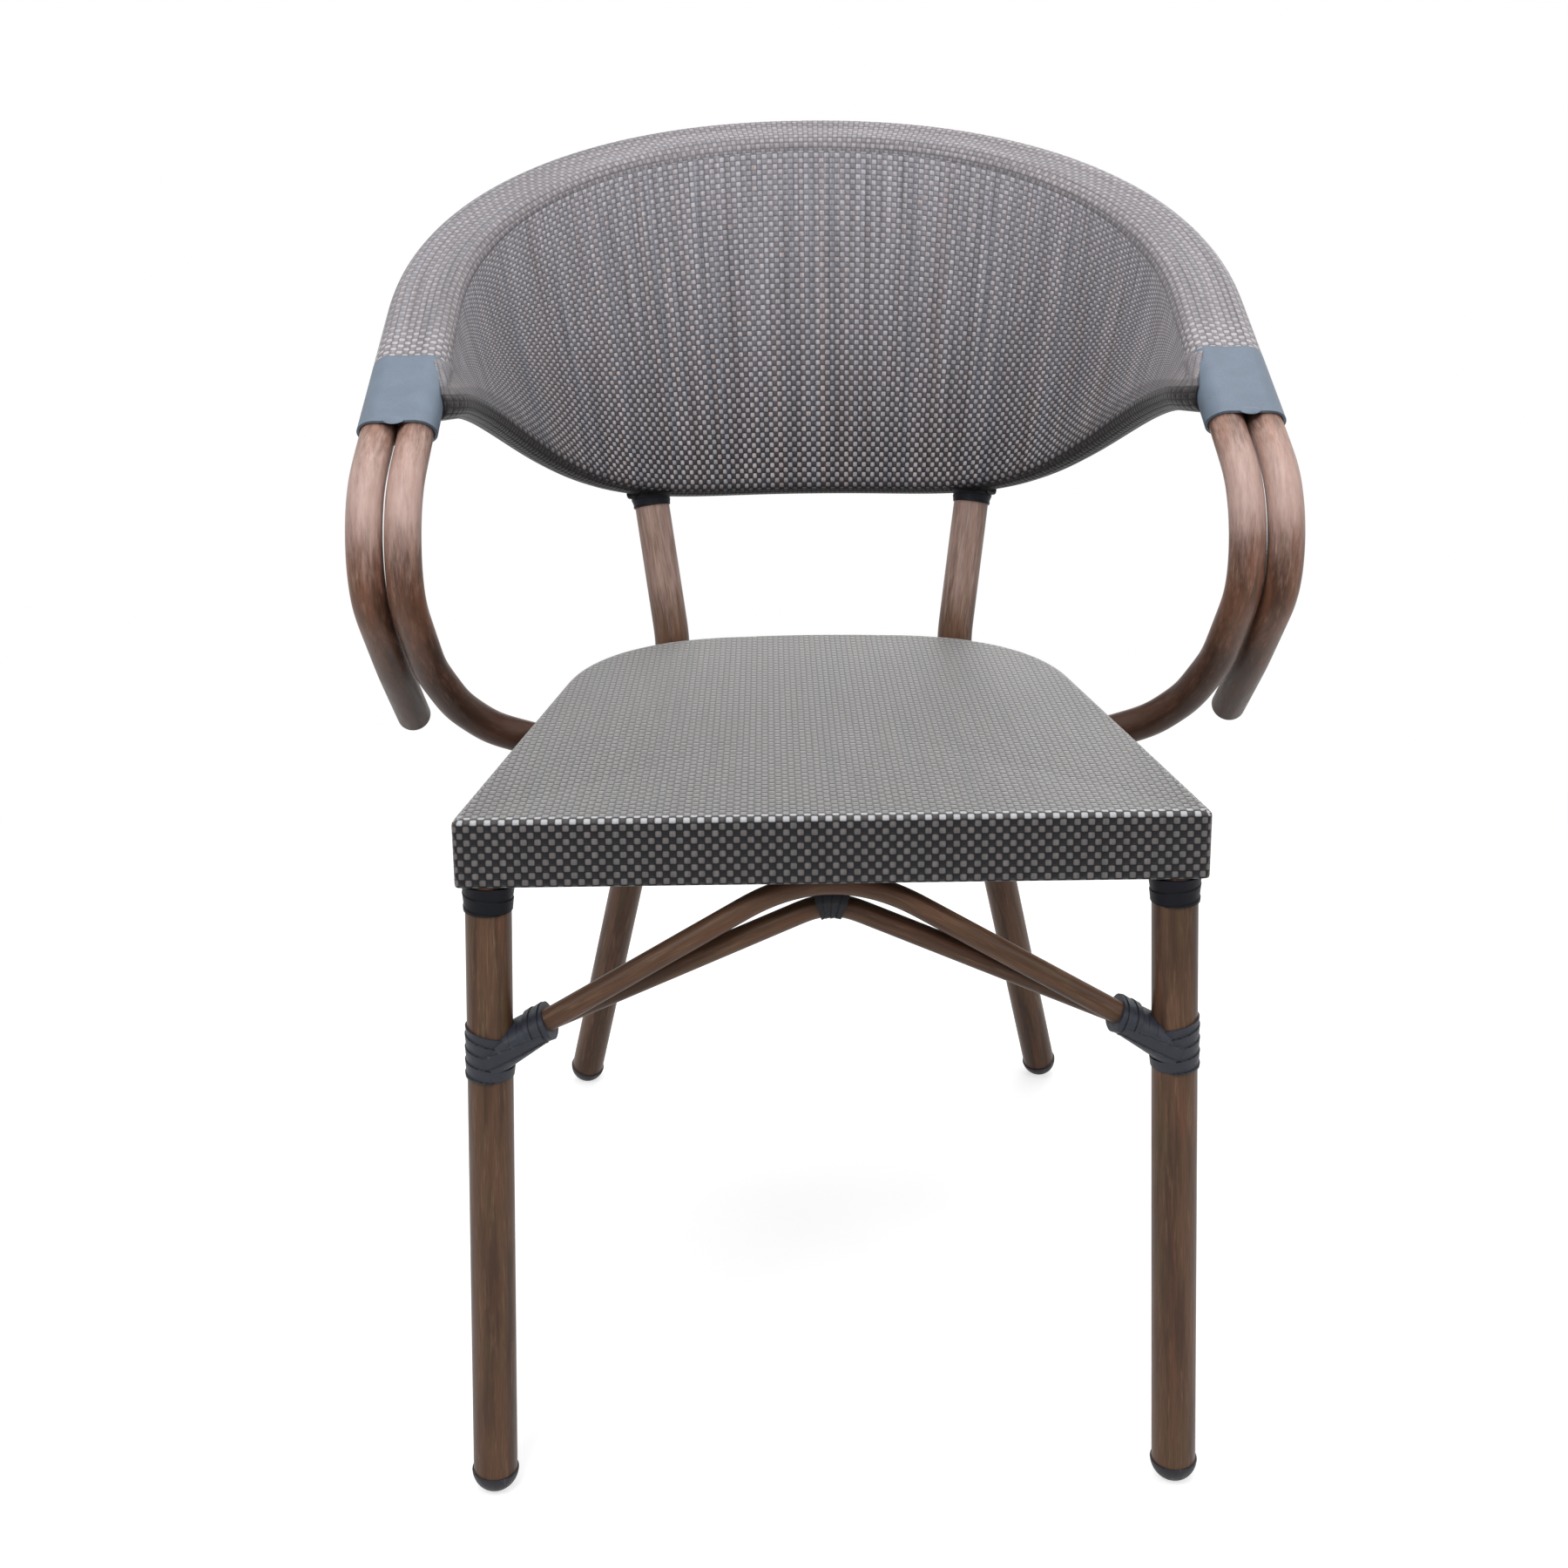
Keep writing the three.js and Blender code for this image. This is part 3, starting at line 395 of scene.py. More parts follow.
def bamboo_finish(name, ground, shade, sheen, warm, cool, coat, grain):
    """Satin tube finish that reads the place on the unbent tube. A larger grain makes shorter streaks.

    A carried attribute paints a pale highlight on the print where it is high, and painted shade where it is
    negative."""
    made, tree, shader = finish(name, Coat_Weight=coat, Coat_Roughness=0.4, Specular_IOR_Level=0.15)
    at = stretched(tree, carried_value(tree, "unbent", "Vector"), (1, 1, grain))
    print_on = node(
        tree, "ShaderNodeGroup", {"node_tree": bamboo},
        Place=at, Ground=ground, Shade=shade, Sheen=sheen, Warm=warm, Cool=cool,
    )
    height = print_on.outputs["Height"]
    painted_light = sums(tree, "SUBTRACT", carried_value(tree, "painted_light"), 0.56)
    wear_and_painted_light = sums(tree, "MULTIPLY_ADD", height, 0.7, painted_light)
    # The pale colour is a painted highlight and the dark one is painted shade, laid on by the carried
    # attribute.
    pale, dark = colour(186, 160, 152), colour(50, 35, 28)
    tint = blend(tree, ramp(tree, wear_and_painted_light, 0.0, 1.0, 0.0, 0.85), print_on.outputs["Colour"], pale)
    tint = blend(tree, ramp(tree, wear_and_painted_light, -0.1, -1.0, 0.0, 0.8), tint, dark)
    coat_shader(tree, shader, tint, print_on.outputs["Roughness"], height, 0.25, 0.0002)
    return made


brown_tube = bamboo_finish(
    "brown_tube", colour(96, 70, 53), colour(73, 52, 40), colour(114, 87, 66),
    colour(106, 69, 52), colour(88, 73, 50), 0.06, 1.0,
)
# The arms carry the legs' print with a lighter, redder ground: partly their own tone, partly painted light on
# the arms.
tan_tube = bamboo_finish(
    "tan_tube", colour(120, 84, 66), colour(88, 60, 47), colour(148, 112, 93),
    colour(136, 88, 66), colour(102, 80, 63), 0.04, 2.2,
)
print("bamboo finishes ready")

# %% [markdown]
# The seat and the back are a plastic-coated mesh, woven so that light and dark squares of about 4 mm
# alternate like a chessboard. Modelling each strand would need millions of faces. Here the cloth
# has a map in real metres, and a group works out from it which square a point lies in, how far it is
# from the square's middle, and how high the strand stands there.

# %% Woven mesh group
weave, given, result = group(
    "woven mesh",
    [
        ("Map", VECTOR, None),
        ("Cell", VALUE, 0.0045),
        ("Light", COLOUR, colour(150, 148, 148)),
        ("Dark", COLOUR, colour(60, 58, 62)),
        ("Streak", VALUE, 0.3),
        ("Warm", COLOUR, colour(150, 125, 118)),
        ("Cool", COLOUR, colour(118, 124, 134)),
    ],
    [("Colour", COLOUR), ("Height", VALUE), ("Open", VALUE), ("Light cell", VALUE)],
)
flat_place, streak = given.outputs["Map"], given.outputs["Streak"]
cells = node(weave, "ShaderNodeVectorMath", {"operation": "SCALE"}, Vector=flat_place)
weave.links.new(sums(weave, "DIVIDE", 1.0, given.outputs["Cell"]), cells.inputs["Scale"])
split = node(weave, "ShaderNodeSeparateXYZ", Vector=cells.outputs[0])
across, along = split.outputs[0], split.outputs[1]
whole = sums(weave, "ADD", sums(weave, "FLOOR", across), sums(weave, "FLOOR", along))
chess = sums(weave, "FLOORED_MODULO", whole, 2.0)
off_across = sums(weave, "ABSOLUTE", sums(weave, "SUBTRACT", sums(weave, "FRACT", across), 0.5))
off_along = sums(weave, "ABSOLUTE", sums(weave, "SUBTRACT", sums(weave, "FRACT", along), 0.5))
far = sums(weave, "ADD", sums(weave, "POWER", off_across, 4.0), sums(weave, "POWER", off_along, 4.0))
far = sums(weave, "POWER", far, 1 / 4)
pillow = ramp(weave, far, 0.5, 0.18)
light_cell = product(weave, chess, ramp(weave, far, 0.56, 0.36))

# %% Threads and streaks of the mesh
strands = sums(weave, "ABSOLUTE", sums(weave, "SINE", product(weave, across, 3 * np.pi)))
straws = sums(weave, "ABSOLUTE", sums(weave, "SINE", product(weave, along, 3 * np.pi)))
ribs = node(weave, "ShaderNodeMix", {"data_type": "FLOAT"}, i0=chess, i2=strands, i3=straws).outputs[0]
column_noise = noise(weave, stretched(weave, flat_place, (120, 1.5, 0)), 3.0, 0.65)
fine_noise = noise(weave, stretched(weave, flat_place, (520, 12, 0)), 2.0, 0.6)
light_noise = noise(weave, stretched(weave, flat_place, (170, 2.5, 0)), 4.0, 0.7)
spots = noise(weave, stretched(weave, flat_place, (260, 200, 0)), 2.0)
warm_share = sums(
    weave, "MAXIMUM", ramp(weave, column_noise, 0.52, 0.66, 0.0, 0.6), ramp(weave, spots, 0.58, 0.7)
)
cool_share = ramp(weave, column_noise, 0.48, 0.34)
cloth = blend(weave, light_cell, given.outputs["Dark"], given.outputs["Light"])
cloth = blend(weave, product(weave, warm_share, streak, light_cell), cloth, given.outputs["Warm"])
cloth = blend(weave, product(weave, cool_share, streak, light_cell), cloth, given.outputs["Cool"])
column_light = product(weave, ramp(weave, light_noise, 0.3, 0.7, -0.24, 0.22), streak)
# The level mixes random streaks and spots with painted shade towards each square's border.
level = product(
    weave,
    ramp(weave, fine_noise, 0.3, 0.7, 0.84, 1.12),
    ramp(weave, spots, 0.3, 0.7, 0.9, 1.08),
    sums(weave, "ADD", column_light, 1.0),
    ramp(weave, pillow, 0.0, 0.8, 0.72, 1.0),
    ramp(weave, ribs, 0.0, 0.5, 0.86, 1.03),
)
put_out(
    weave, result,
    Colour=shaded(weave, cloth, level),
    Height=sums(weave, "MULTIPLY_ADD", ribs, 0.18, pillow),
    Open=sums(weave, "SUBTRACT", 1.0, ramp(weave, pillow, 0.0, 0.25)),
    Light_cell=light_cell,
)
print("woven mesh group:", len(weave.nodes), "nodes")

# %% Woven finishes
cell_size = 0.00418
no_tint = (colour(0, 0, 0), 0.0)


def mesh_finish(name, plain_threads, painted_top_light, streak, warm, cool, sheen, high, low=no_tint):
    """Woven finish on the cloth's own map.

    Two pairs of a light and a dark thread colour are mixed by a carried attribute, and the second pair is
    painted top light. The attribute band adds the high colour, which paints glints, where it nears one,
    and the low colour, which paints shade, where it nears minus one. Both are given as a colour and a share."""
    made, tree, shader = finish(name, Specular_IOR_Level=0.15, Sheen_Weight=sheen, Sheen_Roughness=0.4)
    top_light_share, band = carried_value(tree, "painted_top_light"), carried_value(tree, "band")
    light, dark = (blend(tree, top_light_share, plain_threads[k], painted_top_light[k]) for k in range(2))
    cloth = node(
        tree, "ShaderNodeGroup", {"node_tree": weave},
        Map=node(tree, "ShaderNodeUVMap", {"uv_map": "cloth"}).outputs[0], Cell=cell_size,
        Light=light, Dark=dark, Streak=streak, Warm=warm, Cool=cool,
    )
    glint = product(tree, ramp(tree, band, 0.3, 0.8, 0.0, high[1]), cloth.outputs["Light cell"])
    tint = blend(tree, glint, cloth.outputs["Colour"], high[0])
    tint = blend(tree, ramp(tree, band, -0.2, -0.7, 0.0, low[1]), tint, low[0])
    rough = ramp(tree, cloth.outputs["Open"], 0.0, 1.0, 0.42, 0.7)
    coat_shader(tree, shader, tint, rough, cloth.outputs["Height"], 0.5, 0.0006)
    return made


# The seat's second pair is painted top light, and its high colour is a painted glint on the front edge.
seat_mesh = mesh_finish(
    "seat_mesh", (colour(106, 102, 102), colour(22, 20, 24)), (colour(124, 121, 119), colour(62, 60, 60)),
    0.4, colour(112, 100, 94), colour(94, 98, 104), 1.0, (colour(212, 212, 218), 0.48),
)
# The panel's second pair is painted top light, and its low colour is painted shade on the hem.
back_mesh = mesh_finish(
    "back_mesh", (colour(158, 153, 156), colour(56, 53, 57)), (colour(178, 175, 180), colour(138, 135, 142)),
    1.0, colour(168, 149, 143), colour(140, 144, 153), 0.2,
    (colour(178, 175, 179), 0.8), (colour(34, 30, 31), 0.95),
)
# The rim's high colour is a painted glint near the sleeve's ends.
rim_threads = (colour(150, 146, 150), colour(126, 122, 126))
rim_mesh = mesh_finish(
    "rim_mesh", rim_threads, rim_threads, 0.7, colour(158, 146, 144), colour(132, 136, 143), 0.1,
    (colour(192, 187, 189), 0.4),
)
print("woven finishes ready")

# %% [markdown]
# The joints are bound with flat tape, wound in overlapping turns. The turns are real steps in the
# surface, and each point also carries how far it lies across its turn. The finish paints a shadow along
# the edge that tucks under the next turn, and draws fine threads along the tape.

# %% Wound tape group
tape, given, result = group(
    "wound tape",
    [("Turn", VALUE, 0.0), ("Ground", COLOUR, colour(90, 100, 112)), ("Edge", COLOUR, colour(30, 33, 38))],
    [("Colour", COLOUR), ("Height", VALUE), ("Roughness", VALUE)],
)
part = sums(tape, "FRACT", given.outputs["Turn"])
# Painted shadow along the step where one turn tucks under the next.
step_shadow = sums(tape, "MAXIMUM", ramp(tape, part, 0.14, 0.0), ramp(tape, part, 0.93, 1.0, 0.0, 0.7))
thread = sums(tape, "ABSOLUTE", sums(tape, "SINE", product(tape, part, 9 * np.pi)))
here = node(tape, "ShaderNodeTexCoord").outputs["Object"]
fleck = noise(tape, stretched(tape, here, (900, 900, 900)), 3.0, 0.6)
cloud = noise(tape, stretched(tape, here, (70, 70, 70)), 3.0)
edge = given.outputs["Edge"]
ground = blend(tape, ramp(tape, cloud, 0.3, 0.7, 0.0, 0.22), given.outputs["Ground"], edge)
level = product(tape, ramp(tape, thread, 0.0, 0.6, 0.86, 1.04), ramp(tape, fleck, 0.3, 0.7, 0.9, 1.1))
put_out(
    tape, result,
    Colour=shaded(tape, blend(tape, step_shadow, ground, edge), level),
    Height=sums(tape, "MULTIPLY_ADD", fleck, 0.5, thread),
    Roughness=ramp(tape, fleck, 0.3, 0.7, 0.42, 0.58),
)


def tape_finish(name, ground, edge, shine):
    """Wound tape that reads the share across each turn."""
    made, tree, shader = finish(name, Specular_IOR_Level=shine)
    turn = carried_value(tree, "turn")
    on = node(tree, "ShaderNodeGroup", {"node_tree": tape}, Turn=turn, Ground=ground, Edge=edge)
    tint, rough, height = (on.outputs[key] for key in ["Colour", "Roughness", "Height"])
    coat_shader(tree, shader, tint, rough, height, 0.4, 0.0002)
    return made


slate_tape = tape_finish("slate_tape", colour(97, 109, 123), colour(72, 82, 94), 0.3)
dark_tape = tape_finish("dark_tape", colour(44, 47, 56), colour(16, 17, 22), 0.3)
black_tape = tape_finish("black_tape", colour(20, 21, 27), colour(8, 8, 11), 0.12)
print("tape finishes ready")

# %% [markdown]
# Glides, plugs and the strips under the seat are moulded plastic, and the hidden rails are powder
# coated. Both are one speckled group: fine grain in height and roughness, and a pale scuff where
# noise is high. The pieces that rub on the floor get more of it.

# %% Plain coated finishes
grainy, given, result = group(
    "fine grain",
    [("Ground", COLOUR, colour(60, 60, 64)), ("Scuff", COLOUR, colour(110, 110, 112)), ("Wear", VALUE, 0.3)],
    [("Colour", COLOUR), ("Height", VALUE), ("Roughness", VALUE)],
)
here = node(grainy, "ShaderNodeTexCoord").outputs["Object"]
grain = noise(grainy, stretched(grainy, here, (1400, 1400, 1400)), 2.0)
marks = noise(grainy, stretched(grainy, here, (160, 160, 60)), 4.0, 0.7)
wear_and_painted_light = product(grainy, ramp(grainy, marks, 0.56, 0.75), given.outputs["Wear"])
tinted = blend(grainy, wear_and_painted_light, given.outputs["Ground"], given.outputs["Scuff"])
put_out(
    grainy, result,
    Colour=shaded(grainy, tinted, ramp(grainy, grain, 0.3, 0.7, 0.9, 1.08)),
    Height=grain,
    Roughness=ramp(grainy, marks, 0.3, 0.75, 0.42, 0.62),
)


def coated_finish(name, ground, scuff, wear):
    """Speckled coat on plastic or metal."""
    made, tree, shader = finish(name, Specular_IOR_Level=0.25)
    on = node(tree, "ShaderNodeGroup", {"node_tree": grainy}, Ground=ground, Scuff=scuff, Wear=wear)
    tint, rough, height = (on.outputs[key] for key in ["Colour", "Roughness", "Height"])
    coat_shader(tree, shader, tint, rough, height, 0.3, 0.0001)
    return made


glide_plastic = coated_finish("glide_plastic", colour(40, 39, 44), colour(120, 120, 124), 0.5)
strip_plastic = coated_finish("strip_plastic", colour(74, 74, 78), colour(120, 120, 122), 0.3)
frame_tube = coated_finish("frame_tube", colour(104, 86, 76), colour(150, 136, 126), 0.25)
rail_tube = coated_finish("rail_tube", colour(34, 29, 29), colour(70, 62, 58), 0.2)
print("coated finishes ready")

# %% [markdown]
# The legs come first, because everything else hangs on them. A front leg is a straight tube that
# leans in a little. A rear leg runs up from the floor to the rear corner of the seat, bends there,
# and goes on as the upright that carries the back. Its top is cut to the lower rail's round, and
# here each point of the top ring is let down until it clears the rail's hem.

# %% Leg and rail sizes
leg_radius, arm_radius, lower_rail_radius, brace_radius = 0.014, 0.0115, 0.0095, 0.007
clearance, cloth_thickness = 0.0003, 0.001
seat_top, seat_bottom = 0.4575, 0.415
foot_height = 0.0144
front_foot = np.array([0.219, 0, foot_height])
front_leg_top = np.array([0.206, 0, 0.4163])
rear_foot = np.array([0.211, 0.570, foot_height])
seat_corner_knots = np.array([[0.187, 0.300], [0.17685, 0.38433], [0.12731, 0.433], [0.060, 0.437]])
rail_half_width, rail_front, rail_back = 0.24986, 0.185, 0.507
rail_height, rail_rise, rail_squareness = 0.574, 0.103, 2.3
upright_half_spacing, upright_drop = 0.133, 0.005


def bezier(knots, share):
    """Cubic Bezier: the four knots weighted by the usual products of share and one less share."""
    t = np.asarray(share, float)[:, None]
    weights = [(1 - t) ** 3, 3 * t * (1 - t) ** 2, 3 * t**2 * (1 - t), t**3]
    return sum(weight * knot for weight, knot in zip(weights, knots))


def lower_rail_point(angle):
    """Plan superellipse: the cosine and the sine are raised to two over the squareness.

    The height climbs from the back to both ends with the fourth power of the cosine."""
    c, s = np.cos(angle), np.sin(angle)
    x = rail_half_width * np.sign(c) * np.abs(c) ** (2 / rail_squareness)
    y = rail_front + (rail_back - rail_front) * np.abs(s) ** (2 / rail_squareness)
    return np.stack([x, y, rail_height + rail_rise * np.abs(c) ** 4], axis=-1)


upright_angle = np.arccos((upright_half_spacing / rail_half_width) ** (rail_squareness / 2))
upright_top = lower_rail_point(upright_angle) - np.array([0, 0, upright_drop])
corner_share, share_step = 0.74, 0.001
corner_point, before, after = bezier(seat_corner_knots, corner_share + share_step * np.array([0, -1, 1]))
corner_away = unit((after - before)[::-1] * [1, -1])
print("rear leg passes the seat corner at", corner_point.round(4))

# %% Leg routes
bend_height, bend_radius, bend_relief_share = 0.441, 0.075, 0.85
leg_offset = leg_radius + clearance


def fillet(before, corner, after, radius, count):
    """Arc of a radius that touches both straights, and half the angle between them.

    The centre lies on their bisector, and the first touching point is swept round it by their turn."""
    inward, outward = unit(before - corner), unit(after - corner)
    half = np.arccos(np.clip(inward @ outward, -1, 1)) / 2
    centre = corner + unit(inward + outward) * radius / np.sin(half)
    first = corner + inward * radius / np.tan(half) - centre
    normal = unit(np.cross(inward, outward))
    angle = np.linspace(0, np.pi - 2 * half, count)[:, None]
    return centre + first * np.cos(angle) - np.cross(normal, first) * np.sin(angle), half


rough_corner = np.append(corner_point + corner_away * leg_offset, bend_height)
half_angle = fillet(rear_foot, rough_corner, upright_top, bend_radius, 2)[1]
bend_relief = bend_relief_share * bend_radius * (1 / np.sin(half_angle) - 1)
leg_corner = np.append(corner_point + corner_away * (leg_offset - bend_relief), bend_height)
leg_bend = fillet(rear_foot, leg_corner, upright_top, bend_radius, 24)[0]
rear_leg_route = bent_path(np.concatenate([[rear_foot], leg_bend, [upright_top]]), 0.003, 0.004)
front_leg_route = bent_path([front_foot, front_leg_top], 0.006, 0.004)
print("rear leg bend from", leg_bend[0].round(3), "to", leg_bend[-1].round(3))

# %% Legs
hem_radius = lower_rail_radius + 2 * cloth_thickness
rail_axis_point = lower_rail_point(upright_angle)
rail_run = lower_rail_point(upright_angle + 0.01) - lower_rail_point(upright_angle - 0.01)
leg_shoulder, wrap_shoulder = 0.0082, 0.0070
sides = [(1, "right"), (-1, "left")]


def saddle(grid, shoulder):
    """Lets points down under the rail's axis, by the root of the hem's radius squared less offset squared.

    Beside the rail the root shrinks to nothing, so there the shoulder keeps them that far under it."""
    offset = (grid - rail_axis_point) @ unit(np.cross(rail_run, [0, 0, 1.0]))
    under = np.sqrt(np.maximum((hem_radius + clearance) ** 2 - offset**2, shoulder**2))
    lowered = grid.copy()
    lowered[..., 2] = np.minimum(grid[..., 2], rail_axis_point[2] - under)
    return lowered


def spread(values, grid):
    """One value for each ring of a grid, given to all its points."""
    return np.broadcast_to(values[:, None, None], grid.shape[:2] + (1,))


def leg_tube(name, route, guide, side, node_name, saddled=False):
    """Round tube along a route, with its ends closed and its place on the straight tube kept for the grain.

    Above the seat the print carries a painted highlight, which makes it paler."""
    ring = circle(leg_radius, 48)
    grid = carried(route, guide, ring)
    if saddled:
        grid = saddle(grid, leg_shoulder)
    flat = unbent(route, ring) + np.array([0.1 * side, 0.3, 0.37 * side])
    painted_light = spread(np.interp(route[:, 2], [0.44, 0.50], [0, 0.5]), grid)
    values = {"unbent": with_ends(flat), "painted_light": with_ends(painted_light)}
    piece = surface(name, [(with_ends(on_side(grid, side)), None, values)])
    return fit(piece, brown_tube, "brown_tube", node_name)


for side, word in sides:
    leg_tube(f"front_leg_tube_{word}", front_leg_route, [0, 1.0, 0], side, f"front_leg_{word}")
    leg_tube(f"rear_leg_tube_{word}", rear_leg_route, [1.0, 0, 0], side, f"rear_leg_{word}", True)

# %% [markdown]
# Each foot is a domed plastic glide pushed into its tube, and the free end of each outer arm tube
# has a flat plug. Both are turned shapes: a profile of radius against height, swept round an axis.
# The glides keep a small flat on the floor, because the chair stands on it.

# %% Glides
dome_radius, spigot_radius, spigot_depth = 0.015, 0.0121, 0.02
front_axis = front_leg_top - front_foot
rear_axis = leg_bend[0] - rear_foot


def turned(profile, base, axis, count=48):
    """Profile of (radius, height) swept round an axis. A radius of zero closes the shape."""
    axis = unit(np.asarray(axis, float))
    side = unit(np.cross(axis, [0.3, 1.0, 0.2]))
    angle = np.arange(count)[:, None] * 2 * np.pi / count
    around = np.cos(angle) * side + np.sin(angle) * np.cross(axis, side)
    return base + profile[:, :1, None] * around + profile[:, 1:, None] * axis


def glide(name, foot, axis, side, node_name):
    """Dome with a soft rim under the tube's end and a spigot inside it, cut flat where it meets the floor."""
    angle = np.linspace(0, np.pi / 2 - 0.12, 14)
    dome = dome_radius * np.stack([np.sin(angle), -np.cos(angle)], axis=1)
    rim = np.array([
        [dome_radius, -0.0008], [dome_radius - 0.0001, -0.0002], [dome_radius - 0.0006, 0],
        [spigot_radius, 0], [spigot_radius, spigot_depth], [0, spigot_depth],
    ])
    grid = turned(np.concatenate([dome, rim]), foot, axis)
    grid[..., 2] = np.maximum(grid[..., 2], 0)
    piece = surface(name, [(on_side(grid, side), None, {})])
    return fit(piece, glide_plastic, "glide_plastic", node_name)


for side, word in sides:
    glide(f"front_glide_cap_{word}", front_foot, front_axis, side, f"front_glide_{word}")
    glide(f"rear_glide_cap_{word}", rear_foot, rear_axis, side, f"rear_glide_{word}")

# %% [markdown]
# The arms and the back's top rim are two long tubes that lie side by side. Seen square to their
# plane, which climbs to the back, they follow a squarish half ring. At the front each one turns
# down round the arm's nose and runs back to the seat: the outer tube ends free beside the seat's
# side, and the inner one swings in and meets the seat's rail.

# %% Arm loop plane
loop_depth, loop_height, loop_slope = 0.300, 0.732, 0.465
loop_pitch, loop_reach, loop_squareness = 0.0245, 0.291, 2.15
nose_depth, nose_radius, nose_half_width, toe_in = 0.082, 0.055, 0.286, 0.005
climb = np.arctan(loop_slope)
plane_up = np.array([0, np.cos(climb), np.sin(climb)])
plane_normal = np.array([0, -np.sin(climb), np.cos(climb)])
plane_start = np.array([0, loop_depth, loop_height])


def on_plane(across, high):
    """Point of the loop's plane: its start plus a way across and a way up the slope."""
    return plane_start + across[..., None] * np.array([1, 0, 0]) + high[..., None] * plane_up


def loop_point(angle, offset):
    """Half superellipse on the loop's plane, moved in along its own normal by an offset."""
    c, s = np.cos(angle), np.sin(angle)
    across = loop_reach * np.sign(c) * np.abs(c) ** (2 / loop_squareness)
    high = loop_reach * np.abs(s) ** (2 / loop_squareness)
    steep = loop_squareness - 1
    away = unit(np.stack([np.sign(c) * np.abs(across) ** steep, high**steep], axis=-1))
    return on_plane(across - offset * away[..., 0], high - offset * away[..., 1])


def arm_side(depth, offset):
    """Half width of the arm at a depth: it toes in towards the nose."""
    return nose_half_width + toe_in * (depth - nose_depth) / (loop_depth - nose_depth) - offset


def side_point(depth, offset):
    """Point of the loop's plane on the arm's straight side."""
    depth = np.asarray(depth, float)
    return on_plane(arm_side(depth, offset), (depth - loop_depth) / np.cos(climb))


print("the loop's plane climbs by", round(float(np.degrees(climb)), 1), "degrees")

# %% Arm loop routes
free_end = np.array([0.2845, 0.205, 0.460])
inner_end = np.array([0.1859, 0.200, 0.4385])
limb_bow, nose_closing_share, limb_closing_share = 0.003, 0.045, 0.955
nose_start = nose_depth + nose_radius * (1 - np.sin(climb))
nose_height = loop_height + loop_slope * (nose_start - loop_depth) - nose_radius * np.cos(climb)
limb_angle = np.arctan2(nose_height - free_end[2], free_end[1] - nose_depth)
nose_angle = np.linspace(0, np.pi - climb - limb_angle, 30)
nose_depths = nose_depth + nose_radius * (1 - np.sin(nose_angle + climb))
nose_heights = nose_height + nose_radius * np.cos(nose_angle + climb)


def arm_route(offset, limb):
    """Free end, limb, nose, half ring and the mirrored arm, all as one eased path.

    Round the nose the inner tube closes up to the outer one by a share of its offset."""
    upper_half = nose_angle < nose_angle[-1] / 2
    closer = offset * nose_closing_share * np.linspace(0, 1, len(nose_angle))
    across = np.where(upper_half, arm_side(nose_depths, offset), nose_half_width - offset) + closer
    nose = np.stack([across, nose_depths, nose_heights], axis=1)
    arm = np.concatenate([limb, nose[::-1]])
    ring = loop_point(np.linspace(0, np.pi, 240), offset)
    return bent_path(np.concatenate([arm, ring, mirrored(arm)[::-1]]), 0.003, 0.009)


nose_end = np.array([nose_half_width, nose_depths[-1], nose_heights[-1]])
outer_limb = np.array([free_end, (free_end + nose_end) / 2 - [0, 0, limb_bow]])
limb_start = nose_end - [loop_pitch * limb_closing_share, 0, 0]
swing_shares = np.array([[1, 1, 1], [0.46, 0.86, 0.86], [0.2, 0.68, 0.68], [0.04, 0.4, 0.4]])
inner_limb = limb_start + (inner_end - limb_start) * swing_shares
outer_route = arm_route(0, outer_limb)
inner_route = arm_route(loop_pitch, inner_limb)
print("outer tube", len(outer_route), "steps, inner tube", len(inner_route), "steps")

# %% Arm loops
# Painted light on the arm tubes by height: a pale highlight round the noses, and painted shade on the lower
# limbs that face down.
painted_light_heights = [0.455, 0.52, 0.575, 0.60, 0.62, 0.64, 0.67]
painted_light_shares = [-1, -0.65, 0.1, 0.4, 0.85, 0.75, 0.2]
loop_middle = np.array([0, loop_depth, 0.62])


def arm_tube(name, route, node_name, shift):
    """Round tube whose guide points to the middle of the loop, so that it never lies along the tube."""
    ring = circle(arm_radius, 40)
    grid = carried(route, loop_middle - route, ring)
    flat = unbent(route, ring) + np.array([shift, 0.2, shift])
    painted_light = spread(np.interp(route[:, 2], painted_light_heights, painted_light_shares), grid)
    values = {"unbent": with_ends(flat), "painted_light": with_ends(painted_light)}
    return fit(surface(name, [(with_ends(grid), None, values)]), tan_tube, "tan_tube", node_name)


def plug(name, side, node_name):
    """Flat disc with a rounded rim on a short stem, set on the outer tube's free end."""
    profile = np.array([
        [0, -0.0023], [0.0095, -0.0023], [0.0104, -0.0021], [0.011, -0.0017], [0.0112, -0.0012],
        [0.0112, -0.0003], [0.0095, -0.0003], [0.0095, 0.004], [0, 0.004],
    ])
    grid = turned(profile, outer_route[0], outer_route[1] - outer_route[0])
    piece = surface(name, [(on_side(grid, side), None, {})])
    return fit(piece, glide_plastic, "glide_plastic", node_name)


arm_tube("outer_arm_tube", outer_route, "outer_arm_loop_tube", 0.9)
arm_tube("inner_arm_tube", inner_route, "inner_arm_loop_tube", 1.7)
for side, word in sides:
    plug(f"arm_plug_{word}", side, f"arm_end_plug_{word}")

# %% [markdown]
# Two thin braces join the front legs. The upper one is a shallow pointed arch that touches the seat
# at its crest, and the lower one runs behind it a little flatter. Their flanks are straight and the
# crest is a short curve, so the path is two straights that aim at a peak, with a parabola between.

# %% Front braces
brace_height, crest_depth, low_crest_drop = 0.306, 0.007, 0.020
arch_crest_half, low_crest_half = 0.050, 0.016
stagger = brace_radius + clearance


